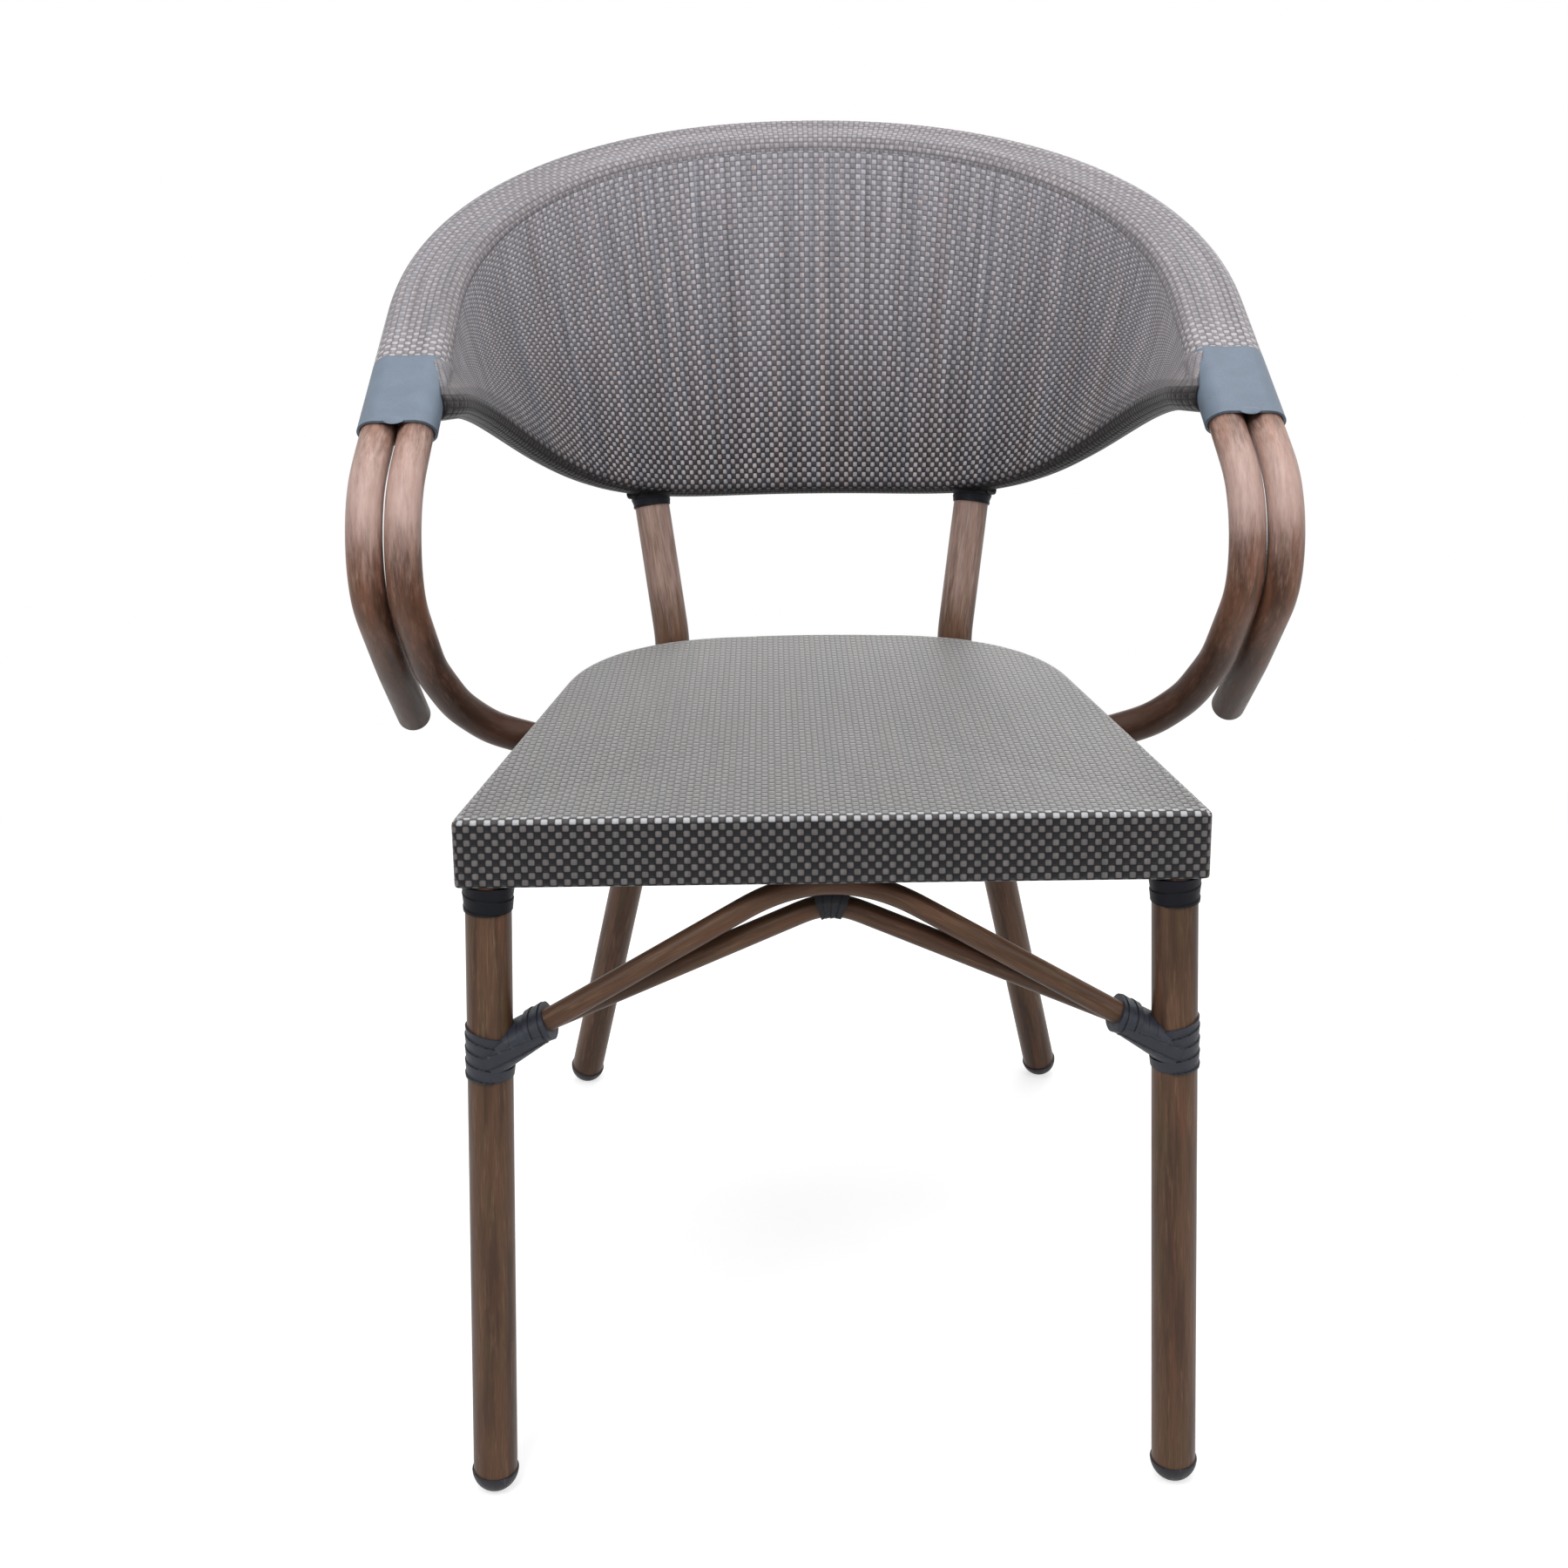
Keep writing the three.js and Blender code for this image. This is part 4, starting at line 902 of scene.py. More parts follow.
def leg_axis_at(height):
    """Point of the front leg's axis at a height."""
    return front_foot + front_axis * (height - front_foot[2]) / front_axis[2]


def brace_route(depth, crest, crest_half):
    """Straight flanks that aim at a peak over the crest and meet in a parabola between two shoulders."""
    leg = leg_axis_at(brace_height)
    leg[1] = depth
    slope = (crest[2] - leg[2]) / (leg[0] - crest_half / 2)
    share = np.linspace(0, 1, 24)[:, None]
    shoulder = np.array([crest_half, crest[1], leg[2] + slope * (leg[0] - crest_half)])
    peak = np.array([0, crest[1], leg[2] + slope * leg[0]])
    crown = (1 - share) ** 2 * shoulder + 2 * share * (1 - share) * peak + share**2 * mirrored(shoulder)
    return bent_path(np.concatenate([[leg], crown, [mirrored(leg)]]), 0.002, 0.004)


def thin_tube(name, route, guide, radius, finish_on, slot, node_name, shift):
    """Round tube with closed ends for a brace or a rail."""
    ring = circle(radius, 32)
    grid = carried(route, guide, ring)
    flat = unbent(route, ring) + np.array([shift, 0.5, shift])
    piece = surface(name, [(with_ends(grid), None, {"unbent": with_ends(flat)})])
    return fit(piece, finish_on, slot, node_name)


arch_crest = np.array([0, crest_depth, seat_bottom - clearance - brace_radius])
low_crest = arch_crest + np.array([0, 2 * stagger, -low_crest_drop])
arch_route = brace_route(-stagger, arch_crest, arch_crest_half)
low_route = brace_route(stagger, low_crest, low_crest_half)
thin_tube(
    "arch_brace_tube", arch_route, [0, 1.0, 0], brace_radius, brown_tube, "brown_tube",
    "front_arch_brace", 0.6,
)
thin_tube(
    "low_brace_tube", low_route, [0, 1.0, 0], brace_radius, brown_tube, "brown_tube",
    "front_low_brace", 2.3,
)

# %% [markdown]
# The back's lower rail bends round the sitter's hips and climbs at both ends to the arm tubes. The
# panel's hem hides nearly all of it, so it only needs to be there and to be round.

# %% Lower rail
rail_end = side_point(rail_front, loop_pitch)
rail_angles = np.linspace(0, np.pi, 200)[4:-4]
rail_knots = np.concatenate([[rail_end], lower_rail_point(rail_angles), [mirrored(rail_end)]])
lower_rail_route = bent_path(rail_knots, 0.003, 0.006)
rail_middle = np.array([0, rail_front, 0.62])
thin_tube(
    "lower_back_rail", lower_rail_route, rail_middle - lower_rail_route, lower_rail_radius,
    rail_tube, "frame_tube", "back_lower_rail", 3.1,
)

# %% [markdown]
# The seat cover is one cut of mesh, pulled over the rails. It is built as two grids that share the
# top edge: an apron that follows the outline, from the clamped flange under the seat up to the
# rounded edge, and a top that runs from the edge to the middle and sags there by 3 mm.
# The top's map is its plan, and the apron's map is its length and drop, so that at the front edge
# the chessboard runs on over the edge without a break. Solidify then gives the cloth its millimetre.

# %% Seat outline
seat_overhang, seat_crown = 0.015, 0.004
seat_front_corner = np.array([0.225, -seat_overhang])


def seat_knots():
    """Plan of the seat, from the middle of the front edge, to its right corner, round the back and home."""
    front = np.linspace([0, -seat_overhang], seat_front_corner, 40)[:-1]
    edge = np.linspace(seat_front_corner, seat_corner_knots[0], 50)[:-1]
    corner = bezier(seat_corner_knots, np.linspace(0, 1, 60))
    share = np.linspace(0, 1, 12)[1:]
    half_width, depth = seat_corner_knots[-1]
    crown = np.stack([half_width * (1 - share), depth + seat_crown * share * (2 - share)], axis=1)
    half = np.concatenate([front, edge, corner, crown])
    return np.concatenate([half, half[-2:0:-1] * np.array([-1, 1])])


def seat_ring(inset, softness=0.0035, spacing=0.0025):
    """Seat plan moved in with mitred corners, read off at equal shares of the outer length, corners eased."""
    knots = seat_knots()
    ahead, behind = unit(np.roll(knots, -1, axis=0) - knots), unit(knots - np.roll(knots, 1, axis=0))
    normal = unit(np.stack([-(ahead + behind)[:, 1], (ahead + behind)[:, 0]], axis=1))
    spread_out = -normal[:, 0] * behind[:, 1] + normal[:, 1] * behind[:, 0]
    moved = knots + normal * inset / spread_out[:, None]
    closed, closed_moved = np.vstack([knots, knots[:1]]), np.vstack([moved, moved[:1]])
    length = length_along(closed)
    at = np.arange(int(length[-1] / spacing)) / int(length[-1] / spacing) * length[-1]
    ring = np.stack([np.interp(at, length, closed_moved[:, k]) for k in range(2)], axis=1)
    weights = bell(softness, spacing)
    reach = len(weights) // 2
    longer = np.concatenate([ring[-reach:], ring, ring[:reach]])
    return np.stack([np.convolve(longer[:, k], weights, "valid") for k in range(2)], axis=1), length[-1]


def whole_cells(length, count):
    """Map from zero to a length, rounded to whole pairs of squares, so that the weave meets itself."""
    return np.linspace(0, 2 * cell_size * np.round(length / (2 * cell_size)), count)


edge_ring, edge_length = seat_ring(0)
print("seat outline", len(edge_ring), "points,", round(edge_length, 3), "m round")

# %% Seat cover
edge_radius, seat_sag = 0.0035, 0.0032
seat_middle = np.array([0, 0.205])
arc = np.linspace(0, np.pi / 2, 6)[1:]
flange = np.array([
    [0.0226, 0.016], [0.0226, 0.009], [0.0226, 0.0025], [0.0222, 0.0008], [0.0212, 0],
    [0.016, 0], [0.009, 0], [0.0020, 0], [0.0006, 0.0006], [0, 0.002],
])
wall = np.linspace([0, seat_bottom + 0.004], [0, seat_top - edge_radius], 12)
rounding = edge_radius * np.stack([1 - np.cos(arc), np.sin(arc)], axis=1)
profile = np.concatenate([flange + [0, seat_bottom], wall, rounding + [0, seat_top - edge_radius]])
heights = np.broadcast_to(profile[:, 1, None, None], (len(profile), len(edge_ring), 1))
apron = np.concatenate([np.stack([seat_ring(inset)[0] for inset in profile[:, 0]]), heights], axis=2)
drop = length_along(profile)
drop = drop - drop[-1] - seat_overhang + edge_radius
around = whole_cells(edge_length, len(edge_ring) + 1)
apron_map = np.stack(np.broadcast_arrays(around[None], drop[:, None]), axis=-1)
share = (1 - np.linspace(0, 1, 36) ** 1.3)[:, None, None]
plan = seat_middle + (apron[-1][None, :, :2] - seat_middle) * share
sunk = np.broadcast_to(seat_top - seat_sag * (1 - share**2) ** 1.2, plan.shape[:2] + (1,))
top = np.concatenate([plan, sunk], axis=2)
top_map = np.concatenate([plan, plan[:, :1]], axis=1)

# %% Seat's painted top light and front glint
# The top and its rounded edge get lighter threads as painted top light, and a painted glint runs along the
# front edge.
on_edge = (np.arange(len(profile)) >= len(profile) - len(arc))[:, None, None] * 1.0
apron_values = {
    "painted_top_light": np.broadcast_to(on_edge, apron.shape[:2] + (1,)),
    "band": on_edge * np.clip(0.9 - apron[..., 1:2] * 3, 0, 1),
}
behind_edge = top[..., 1:2] + seat_overhang - edge_radius
top_values = {"painted_top_light": np.ones(top.shape[:2] + (1,)), "band": np.clip(1.05 - behind_edge / 0.007, 0, 1)}
cover = surface("seat_mesh_cover", [(apron, apron_map, apron_values), (top, top_map, top_values)])
fit(cover, seat_mesh, "seat_mesh", "seat_cover")


def thicken(piece, thickness, offset):
    """Live Solidify modifier. Its walls aren't evened out, because that draws spikes out of tight folds."""
    cloth_wall = piece.modifiers.new("thickness", "SOLIDIFY")
    cloth_wall.thickness, cloth_wall.offset = thickness, offset


thicken(cover, cloth_thickness, -1)

# %% [markdown]
# The back panel is a ruled sheet: each of its columns runs straight from the inner arm tube down to
# the lower rail, and folds round the rail as a hem. The two lines are matched by station numbers,
# which run a little further round the rail than round the rim, so that the columns fan out evenly.
# The rim line is the half ring from station 1 to 21, and the arm's straight side outside them.
# Towards its ends the hem turns in to the arm tube, where the arm's tape covers it.

# %% Back panel lines
stations = np.linspace(-0.92, 22.92, 380)
from_end = np.minimum(stations, 22 - stations)
rim_round, rail_round = 0.0136, 0.0108


def eased_line(line, softness=0.006):
    """Line eased at its own mean spacing."""
    return eased(line, softness, np.diff(length_along(line)).mean())


half_ring = loop_point(np.pi * (stations - 1) / 20, loop_pitch)
arm_depths = np.interp(from_end, [-0.92, -0.3, 0, 1], [0.2225, 0.2255, 0.2398, loop_depth])
arm_line = side_point(arm_depths, loop_pitch)
arm_line[:, 0] *= np.where(stations > 11, -1, 1)
rim_at = eased_line(np.where(from_end[:, None] < 1, arm_line, half_ring))
rail_at = lower_rail_point(np.pi * (stations + 1) / 24)
towards_arm = np.where(stations[:, None] > 11, mirrored(rail_end), rail_end) - rail_at
rail_at = rail_at + towards_arm * 0.62 * np.clip((-0.4 - from_end) / 0.52, 0, 1)[:, None] ** 1.5
rail_at = eased_line(rail_at)
fall = rail_at - rim_at
rim_along, rail_along = unit(np.gradient(rim_at, axis=0)), unit(np.gradient(rail_at, axis=0))
rim_face, rail_face = unit(np.cross(rim_along, fall)), unit(np.cross(rail_along, fall))
rim_up, rail_down = unit(np.cross(rim_along, rim_face)), unit(np.cross(rail_face, rail_along))
print("panel lines", len(stations), "stations")

# %% Back panel surface
lap_count, run_count, hem_count = 6, 24, 22


def wrap(centre, face, side, radius, angle):
    """Points on a circle round each station, turned from the panel's face towards a side."""
    a = np.broadcast_to(angle, (len(centre), angle.shape[-1]))[..., None]
    return centre[:, None] + radius * (np.cos(a) * face[:, None] + np.sin(a) * side[:, None])


def clear_of_tape(grid):
    """Moves the panel's front corners away from the inner tube's axis, to the outside of the arm's tape.

    The lap stays under the tape, and the push fades out at the tape's upper end."""
    tape_start, tape_end = side_point(0.150, loop_pitch), side_point(0.232, loop_pitch)
    along = unit(tape_end - tape_start)
    flip = np.stack([np.sign(grid[..., 0]), *np.ones((2,) + grid.shape[:2])], axis=-1)
    offset = grid * flip - tape_start
    length = offset @ along
    away = offset - length[..., None] * along
    distance = np.linalg.norm(away, axis=-1)
    column = np.arange(grid.shape[1])[None]
    below_lap = np.clip((column - lap_count) / 6, 0, 1)
    beside = np.clip((np.linalg.norm(tape_end - tape_start) - length) / 0.006, 0, 1)
    push = np.clip(rim_round + 0.0018 * below_lap - distance, 0, 0.0025) * beside
    push = push * ((column > lap_count) & (column < lap_count + run_count + 4))
    return grid + flip * away / distance[..., None] * push[..., None]


lean = np.arcsin((rim_round - rail_round) / np.linalg.norm(fall, axis=1).mean())
lap_start = np.pi / 5 * np.clip((from_end + 0.6) / 1.2, 0, 1)
lap_share = np.linspace(0, 1, lap_count)[None]
lap = wrap(rim_at, rim_face, rim_up, rim_round, lap_start[:, None] * (1 - lap_share) - lean * lap_share)
hem = wrap(rail_at, rail_face, rail_down, rail_round, np.linspace(lean, np.pi * 5 / 3, hem_count)[None])
share = np.linspace(0, 1, run_count + 2)[None, 1:-1, None]
run = lap[:, -1:] * (1 - share) + hem[:, :1] * share - rail_face[:, None] * np.sin(np.pi * share) * 0.0015
panel = clear_of_tape(np.concatenate([lap, run, hem], axis=1))
print("panel grid", panel.shape[:2])

# %% Back panel's painted light and shade, and cloth
width = length_along((rim_at + rail_at) / 2)
height = length_along(panel[170])
panel_map = np.stack(np.broadcast_arrays(width[:, None], -height[None]), axis=-1)
# The run's lower part and the hem get painted shade, deeper towards the panel's sides, and the lap gets the
# paler high colour.
near_end = np.clip(6 - from_end, 0, 6)[:, None]
run_painted_shade = 0.42 * np.clip(12 * (near_end**1.5 * 0.017 + np.linspace(0, 1, run_count)[None] - 1), 0, 1)
hem_turn = np.arange(hem_count)[None] + 2.5 * np.clip((6 - from_end) / 7, 0, 1)[:, None]
hem_painted_shade = np.interp(hem_turn, [1.5, 4.5, 10, 14], [0.35, 1, 1, 0.1])
panel_band = np.concatenate([np.ones((len(stations), lap_count)), -run_painted_shade, -hem_painted_shade], axis=1)[..., None]
# The panel is painted lighter towards the top, as painted top light.
top_light_share = np.clip((panel[..., 2:] - 0.60) / 0.22, 0, 1)
back = surface("back_mesh_panel", [(panel, panel_map, {"band": panel_band, "painted_top_light": top_light_share})], wrap=False)
fit(back, back_mesh, "back_mesh", "back_panel")
thicken(back, cloth_thickness, 1)
print("panel height at the middle", round(height[-1], 3), "m, width", round(width[-1], 3), "m")

# %% [markdown]
# Round the top of the back a paler sleeve hides both tubes. Its section is two half rounds a tube
# pitch apart, and the cloth is drawn in a little between them. It runs in under the tape at both
# ends. The section is laid square to the loop's plane, so its long side always joins the two tubes.

# %% Rim sleeve


def stadium(radius, count, waist=0.0):
    """Two half rounds a pitch apart at equal steps, drawn in between them by a waist."""
    angle = np.linspace(-np.pi / 2, np.pi / 2, 60)
    half = np.stack([loop_pitch / 2 + radius * np.cos(angle), radius * np.sin(angle)], axis=1)
    knots = np.concatenate([half, -half, half[:1]])
    ring = even_path(knots, length_along(knots)[-1] / (count - 0.5))[:count]
    pull = 1 - waist / radius * np.exp(-((ring[:, 0] / 0.007) ** 2))
    return ring * np.stack([np.ones(count), pull], axis=1)


def pair_route(first_depth):
    """Middle line between the two tubes, from one arm's depth round the back to the other."""
    start = side_point(np.linspace(first_depth, loop_depth, 20)[:-1], loop_pitch / 2)
    ring = loop_point(np.linspace(0, np.pi, 240), loop_pitch / 2)
    return bent_path(np.concatenate([start, ring, mirrored(start)[::-1]]), 0.003, 0.008)


sleeve_start, sleeve_radius, sleeve_waist = 0.217, 0.0128, 0.0006
sleeve_route = pair_route(sleeve_start)
sleeve_outline = stadium(sleeve_radius, 72, sleeve_waist)
sleeve = carried(sleeve_route, plane_normal, sleeve_outline)
sleeve_along = length_along(sleeve_route)
girth = len(sleeve_outline) * np.diff(length_along(sleeve_outline)).mean()
around = whole_cells(girth, len(sleeve_outline) + 1)
sleeve_map = np.stack(np.broadcast_arrays(around[None], sleeve_along[:, None]), axis=-1)
from_tape = np.minimum(sleeve_along, sleeve_along[-1] - sleeve_along)
# Near both ends of the sleeve a painted glint lightens the light squares.
sleeve_band = spread(np.clip(1.1 - from_tape / 0.07, 0, 1), sleeve)
rim = surface("rim_mesh_sleeve", [(sleeve, sleeve_map, {"band": sleeve_band})])
fit(rim, rim_mesh, "rim_mesh", "back_rim_sleeve")
thicken(rim, cloth_thickness, -1)

# %% [markdown]
# Where the sleeve ends, grey tape is wound tightly round both tubes, so that hardly a step shows, and
# a line of painted shadow lies under its upper edge. Its lower end is cut aslant and folds into the hollow
# between the tubes, and a small tongue shows where the tape's end was tucked in.

# %% Arm bindings
binding_start, binding_end, binding_radius = 0.148, 0.229, 0.0132
binding_inside, binding_waist, layer_thickness, edge_width = 0.0121, 0.0003, 0.0007, 0.0062


def outward(outline):
    """Direction square to a closed outline at each point, from the run between its two neighbours."""
    run = np.roll(outline, -1, axis=-2) - np.roll(outline, 1, axis=-2)
    return unit(np.stack([run[..., 1], -run[..., 0]], axis=-1))


def tucked_end(path):
    """Small tongue at the lower edge: a flat ellipsoid that bows down at its tip."""
    along, side, up = (directions[0] for directions in path_frames(path, plane_normal))
    turn_round = np.linspace(0, 2 * np.pi, 33)[None, :-1]
    lift = np.linspace(-np.pi / 2, np.pi / 2, 17)[:, None]
    across = 0.0068 * np.cos(lift) * np.cos(turn_round)
    forth = 0.0042 * np.cos(lift) * np.sin(turn_round)
    high = 0.0008 * np.sin(lift) - 22 * forth**2 * (forth < 0)
    centre = path[0] + along * 0.0006 + up * (binding_radius + 0.0009)
    return centre + across[..., None] * side + forth[..., None] * along + high[..., None] * up


def arm_binding(name, side, node_name):
    """Two layers round both tubes, whose ends fold in beside the tubes, so that the hollow stays dark."""
    path = side_point(np.linspace(binding_start, binding_end, 150), loop_pitch / 2)
    at = length_along(path)[:, None]
    left = at[-1] - at
    outline = stadium(binding_radius, 96, binding_waist)
    layer = layer_thickness * (left > edge_width)
    grid = carried(path, plane_normal, outline + outward(outline) * layer[..., None])
    # Just under the step of the upper layer, the turn value paints a line of shadow.
    turn = 0.5 + 0.49 * ((left < edge_width + 0.001) & (left > edge_width - 0.0002))
    aslant = (binding_radius + layer_thickness - outline[:, 1]) * 0.5
    along = unit(path[-1] - path[0])
    grid = grid + (aslant[None] * (left / at[-1]) ** 4)[..., None] * along
    inner = carried(path, plane_normal, stadium(binding_inside, 96))[[18, 0, -1, -18]]
    inner[:2] += aslant[None, :, None] * along
    grid = np.concatenate([inner[:2], grid, inner[2:]])
    turn = spread(np.concatenate([turn[:1], turn[:1], turn, turn[-1:], turn[-1:]])[:, 0], grid)
    tongue = tucked_end(path)
    parts = [
        (with_ends(on_side(grid, side)), None, {"turn": with_ends(turn)}),
        (on_side(tongue, side), None, {"turn": np.full(tongue.shape[:2] + (1,), 0.5)}),
    ]
    return fit(surface(name, parts, crease=50), slate_tape, "slate_tape", node_name)


for side, word in sides:
    arm_binding(f"arm_tape_{word}", side, f"arm_binding_{word}")

# %% [markdown]
# Dark tape binds the braces to the front legs. It is four runs in one piece: a drum round the leg
# whose upper turns dip towards the braces, belts that go on from it under the brace ends and close
# in like a wedge, a smooth core round both braces, and a short ring over it. The tape's radius grows
# along each turn and drops back at the next, as overlapping tape does. The turns climb like a screw
# thread: the phase is the length along the path over the tape's pitch plus the share of the way round.

# %% Leg bindings
brace_lean, binding_half, drum_radius, wedge_radius = 0.498, 0.0165, 0.0146, 0.0155


def wound(path, guide, outline, pitch, lift, shift=0.0):
    """Outline carried along a path and pushed out by each turn's share, and the phase for the finish."""
    around = np.arange(outline.shape[-2]) / outline.shape[-2]
    phase = length_along(path)[:, None] / pitch + around[None] + shift
    grown = outline + outward(outline) * (lift * (phase - np.floor(phase)))[..., None]
    return carried(path, guide, grown), phase


def rounded(width, height, count, power=0.8):
    """Superellipse: cosine and sine drawn out towards the corners, and its height from -1 to 1."""
    angle = np.arange(count) * 2 * np.pi / count
    c, s = np.cos(angle), np.sin(angle)
    across, high = np.sign(c) * np.abs(c) ** power, np.sign(s) * np.abs(s) ** power
    return np.stack([width * across, height * high], axis=-1), high


def drum_on_leg():
    """Turns round the leg. The upper ones dip by 7 mm on the braces' side."""
    foot, head = leg_axis_at(brace_height - binding_half), leg_axis_at(brace_height + binding_half)
    path = np.linspace(foot, head, 110)
    drum, phase = wound(path, [0, 1.0, 0], circle(drum_radius, 72), 0.0085, 0.0008, 0.2)
    outer_share = (drum[..., 0] - path[:, None, 0]) / wedge_radius
    share = np.linspace(0, 1, 110)[:, None]
    drum[..., 2] -= share * (1 - outer_share) * 0.0035 * (1 - 0.6 * (1 - share))
    return drum, phase


def belts_under_braces():
    """Wedge from the leg to the ring: its half height falls from 12 to 8.5 mm as it climbs to the braces."""
    share = np.linspace(0, 1, 50)[:, None]
    centre = leg_axis_at(brace_height - 0.0045) + share * np.array([-0.033, 0, 0.0195])
    outline, high = rounded(wedge_radius, 1, 80)
    tall = 0.0122 - 0.0036 * share
    phase = high[None] * 1.5 + share * 0.6 + 0.35
    push = 1 + 0.06 * (phase - np.floor(phase))
    grid = np.stack([outline[None, :, 0] * push, outline[None, :, 1] * tall * push], axis=-1)
    return carried(centre, [0, 0, 1.0], grid), phase


def core_on_braces():
    """Smooth tape between the leg and the ring, close round both braces, which shows dark in the fork."""
    path = leg_axis_at(brace_height) + np.linspace(0.0125, 0.030, 20)[:, None] * [-1, 0, brace_lean]
    return wound(path, [0, 0, 1.0], rounded(0.0151, 0.0088, 80, 0.85)[0], 0.006, 0.0002, 0.1)


def ring_on_braces():
    """Two turns round both brace ends, square to their mean direction."""
    middle = leg_axis_at(brace_height) + 0.031 * np.array([-1, 0, brace_lean])
    path = middle + np.linspace(-0.0065, 0.0065, 50)[:, None] * unit(np.array([-1, 0, brace_lean]))
    return wound(path, [0, 0, 1.0], rounded(0.0156, 0.0102, 80, 0.85)[0], 0.0065, 0.0007, 0.1)


def taped(name, runs, side, finish_on, node_name):
    """Runs of wound tape, each a grid and its phase, closed and joined as one piece."""
    parts = []
    for grid, phase in runs:
        parts.append((with_ends(on_side(grid, side)), None, {"turn": with_ends(phase[..., None])}))
    return fit(surface(name, parts, crease=50), finish_on, "dark_tape", node_name)


for side, word in sides:
    runs = [drum_on_leg(), belts_under_braces(), core_on_braces(), ring_on_braces()]
    taped(f"leg_tape_{word}", runs, side, dark_tape, f"leg_binding_{word}")

# %% [markdown]
# Three more places are wound with a darker tape: the crest where the braces touch, the top of each
# front leg, and the uprights under the back's lower rail. Each is a short run of turns on its own
# outline.

# %% Crest tie, collars and wraps
tape_radius, tie_radius, tie_half_length, tie_share = 0.0147, 0.0083, 0.010, 0.275
collar_height, collar_gap, wrap_height = 0.017, 0.0008, 0.015


def crest_tie():
    """Turns round both crests: two half rounds, broad over the arch and narrow over the low brace."""
    reach = np.linalg.norm(arch_crest - low_crest) * tie_share
    middle = low_crest + (arch_crest - low_crest) * tie_share
    angle = np.arange(72) * 2 * np.pi / 72
    half_round = np.sign(np.cos(angle).round(9))
    outline = np.stack([np.sin(angle), half_round * reach / tie_radius + np.cos(angle)], axis=1) * tie_radius
    path = middle + np.linspace(-tie_half_length, tie_half_length, 60)[:, None] * np.array([1, 0, 0])
    grid, phase = wound(path, unit(arch_crest - low_crest), outline, 0.0055, 0.0005)
    low_share = np.clip((middle[2] + 2 * reach - grid[..., 2]) / (4 * reach), 0, 1)
    grid[..., 0] *= 1.25 - 0.7 * low_share
    grid[..., 2] -= 0.40 * np.maximum(np.abs(grid[..., 0]) - 0.003, 0) * low_share
    return grid, phase


def tape_ring(base, top, flare, pitch):
    """Turns of tape round a leg between two points, widening by a flare."""
    outline = circle(1, 72)[None] * (tape_radius + flare * np.linspace(0, 1, 60)[:, None, None] ** 2)
    return wound(np.linspace(base, top, 60), [0, 1.0, 0], outline, pitch, 0.0005, 0.15)


taped("crest_tape", [crest_tie()], 1, black_tape, "brace_centre_binding")
collar_top = seat_bottom - collar_gap
collar = tape_ring(leg_axis_at(collar_top - collar_height), leg_axis_at(collar_top), 0.0012, 0.0085)
wrap_base = upright_top - unit(upright_top - leg_bend[-1]) * wrap_height
wrap_grid, wrap_phase = tape_ring(wrap_base, upright_top, 0.0042, 0.0055)
upright_wrap = saddle(wrap_grid, wrap_shoulder), wrap_phase
for side, word in sides:
    taped(f"collar_tape_{word}", [collar], side, black_tape, f"leg_top_collar_{word}")
    taped(f"upright_tape_{word}", [upright_wrap], side, black_tape, f"upright_wrap_{word}")

# %% [markdown]
# The rails inside the seat and the strips that clamp the mesh to them show only from below. Their
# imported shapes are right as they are, so they stay and only get a finish.

# %% Pieces kept from the solids
kept = {name: frame_tube for name in ["seat_front_rail", "seat_hoop_rail"]}
kept |= {f"seat_strip_{place}": strip_plastic for place in ["front", "rear", "right", "left"]}
for name, coat in kept.items():
    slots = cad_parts[name].data.materials
    slots.clear()
    slots.append(coat)
print("kept solids:", ", ".join(kept))

# %% [markdown]
# The studio is a plain pale floor and an even white room. Near the chair the floor takes its
# shadow, and further out it fades into plain white, so that no horizon shows. Camera, mirror and
# glass rays see white, and from below the floor is clear, so that the underside can be looked at.
# The light itself comes from four large soft lamps and the dim room.

# %% Floor
floor_reach, floor_glow = 9, 0.66


def seen_directly(tree):
    """One for camera, mirror and glass rays, zero for the others."""
    ray = tree.nodes.new("ShaderNodeLightPath")
    looks = sums(tree, "MAXIMUM", ray.outputs["Is Camera Ray"], ray.outputs["Is Glossy Ray"])
    return sums(tree, "MAXIMUM", looks, ray.outputs["Is Transmission Ray"])


floor_mesh = bpy.data.meshes.new("floor")
floor_corners = floor_reach * np.array([[-1, -1, 0], [1, -1, 0], [1, 1, 0], [-1, 1, 0]])
floor_mesh.from_pydata(floor_corners, [], [(0, 1, 2, 3)])
floor = bpy.data.objects.new("floor", floor_mesh)
bpy.context.scene.collection.objects.link(floor)
paper, tree, shader = finish("floor_paper", Roughness=0.9, Specular_IOR_Level=0.1)
shader.inputs["Base Color"].default_value = (0.55, 0.55, 0.55, 1)
looks = seen_directly(tree)
here = node(tree, "ShaderNodeTexCoord").outputs["Object"]
away = node(tree, "ShaderNodeVectorMath", {"operation": "LENGTH"}, i0=here).outputs["Value"]
white = node(tree, "ShaderNodeEmission", Color=(1, 1, 1, 1), Strength=1.0)
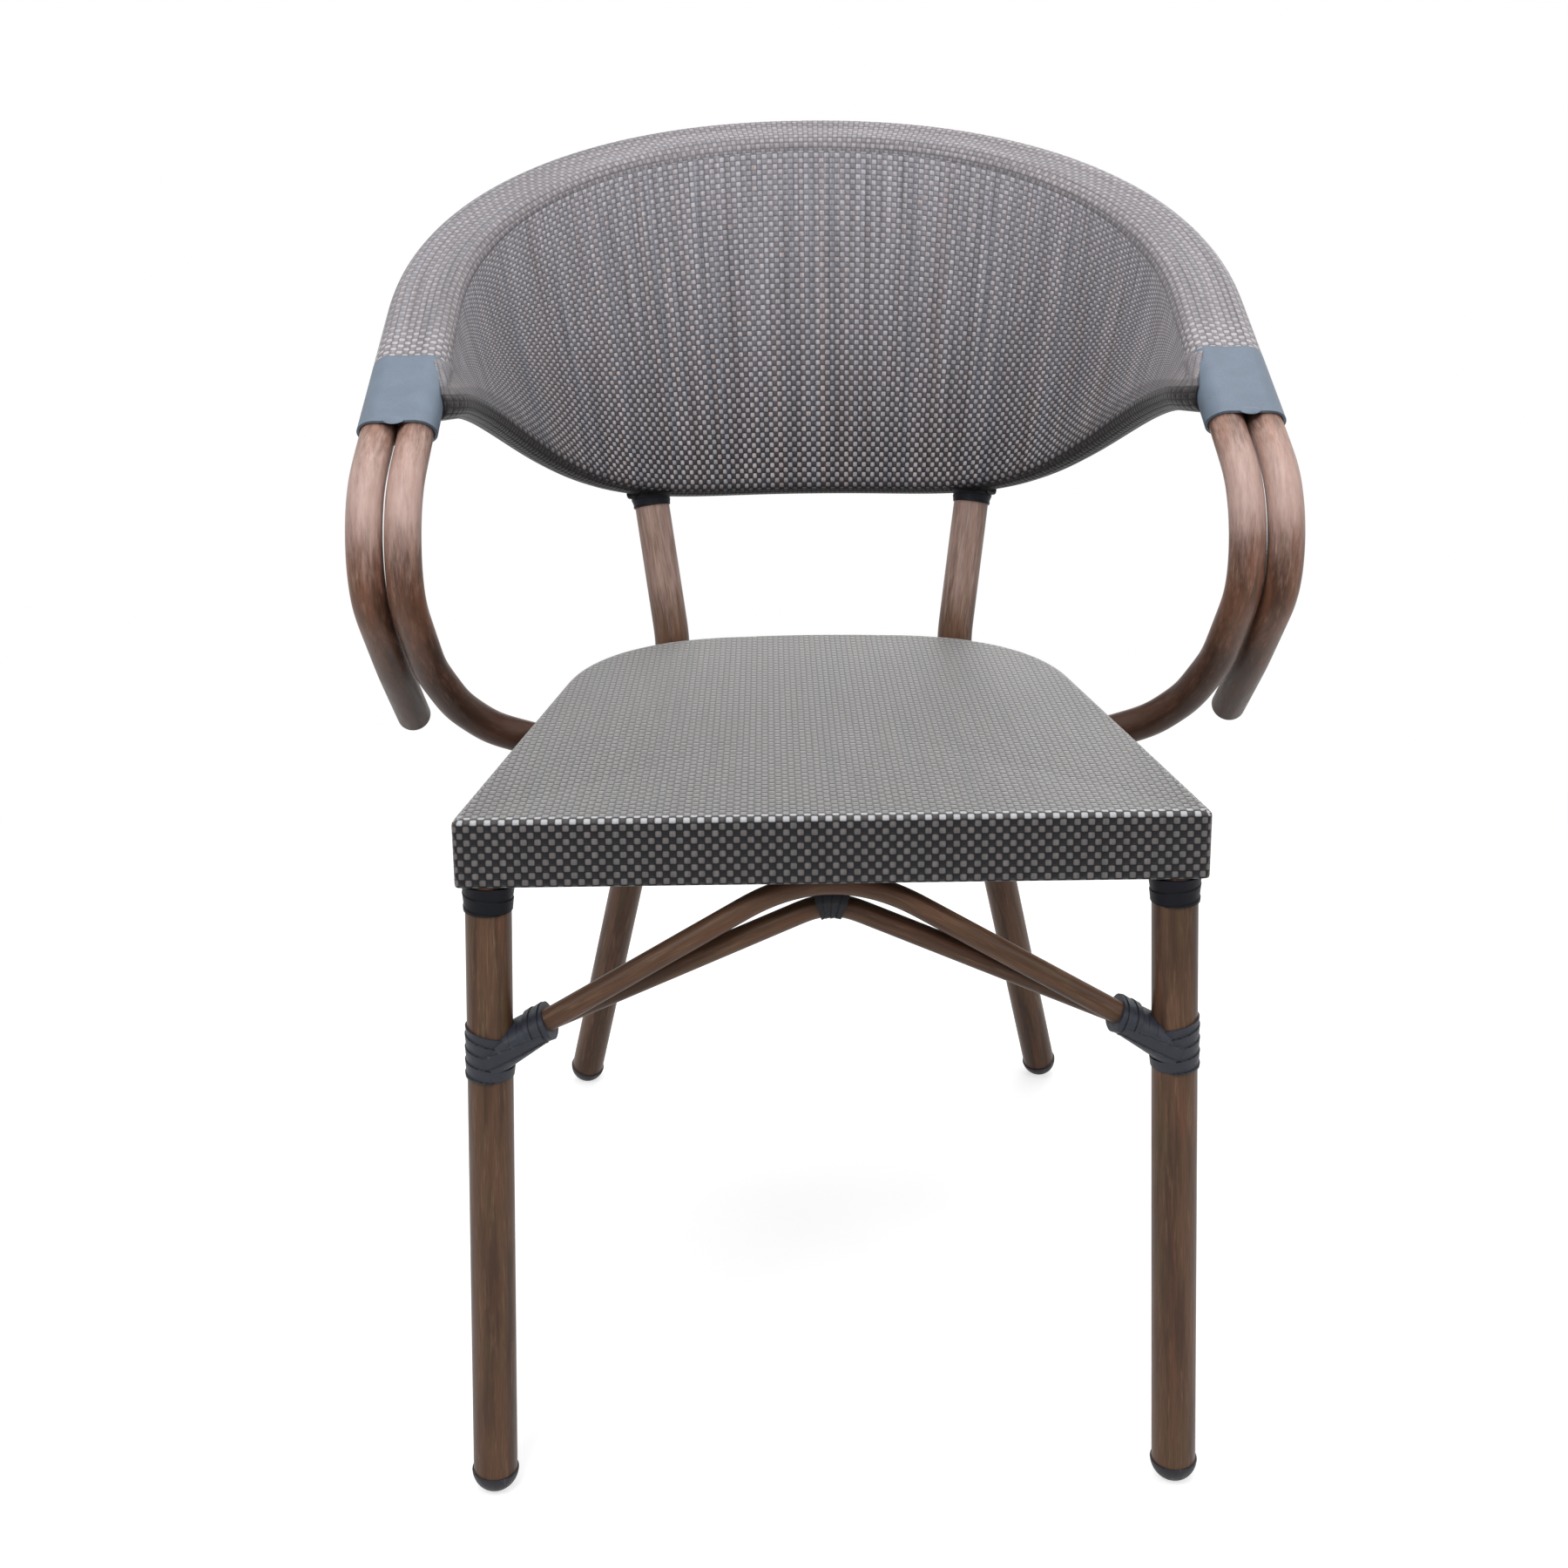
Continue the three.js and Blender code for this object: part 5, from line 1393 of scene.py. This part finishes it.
lit = node(tree, "ShaderNodeEmission", Color=(1, 1, 1, 1), Strength=product(tree, looks, floor_glow))
near = node(tree, "ShaderNodeAddShader", i0=shader.outputs[0], i1=lit.outputs[0])
fade = product(tree, ramp(tree, away, 0.6, 1.5), looks)
above = node(tree, "ShaderNodeMixShader", i0=fade, i1=near.outputs[0], i2=white.outputs[0])
below = node(tree, "ShaderNodeNewGeometry").outputs["Backfacing"]
clear = tree.nodes.new("ShaderNodeBsdfTransparent")
both = node(tree, "ShaderNodeMixShader", i0=below, i1=above.outputs[0], i2=clear.outputs[0])
tree.links.new(both.outputs[0], tree.nodes["Material Output"].inputs["Surface"])
floor_mesh.materials.append(paper)
print("floor laid,", 2 * floor_reach, "m wide")

# %% Room and lamps
room = bpy.data.worlds.new("white room")
bpy.context.scene.world = room
room.use_nodes = True
tree = room.node_tree
background = tree.nodes["Background"]
background.inputs["Color"].default_value = (1, 1, 1, 1)
tree.links.new(ramp(tree, seen_directly(tree), 0.0, 1.0, 0.35, 1.0), background.inputs["Strength"])


def lamp(name, place, aim, size, power):
    """Square soft lamp that faces a point."""
    light = bpy.data.lights.new(name, "AREA")
    light.shape, light.size, light.energy = "SQUARE", size, power
    made = bpy.data.objects.new(name, light)
    bpy.context.scene.collection.objects.link(made)
    back = unit(np.asarray(place, float) - np.asarray(aim, float))
    across = unit(np.cross([0, 0, 1.0], back))
    matrix = np.eye(4)
    matrix[:3] = np.stack([across, np.cross(back, across), back, place], axis=1)
    made.matrix_world = Matrix(matrix.tolist())
    print(name, "lamp", power, "W")


lamp("key", (-0.7, -1.8, 2.3), (0, 0, 0.5), 1.1, 36)
lamp("fill", (1.7, -1.5, 1.9), (0, 0, 0.5), 1.4, 14)
lamp("top", (0.1, 0.0, 2.8), (0, 0, 0.4), 1.8, 40)
lamp("back", (0.8, 2.3, 1.6), (0, 0, 0.5), 1.6, 16)
bpy.context.scene.view_settings.view_transform = "Standard"

# %% [markdown]
# Last, the scene is brought up to date.

# %% Finish
bpy.context.view_layer.update()
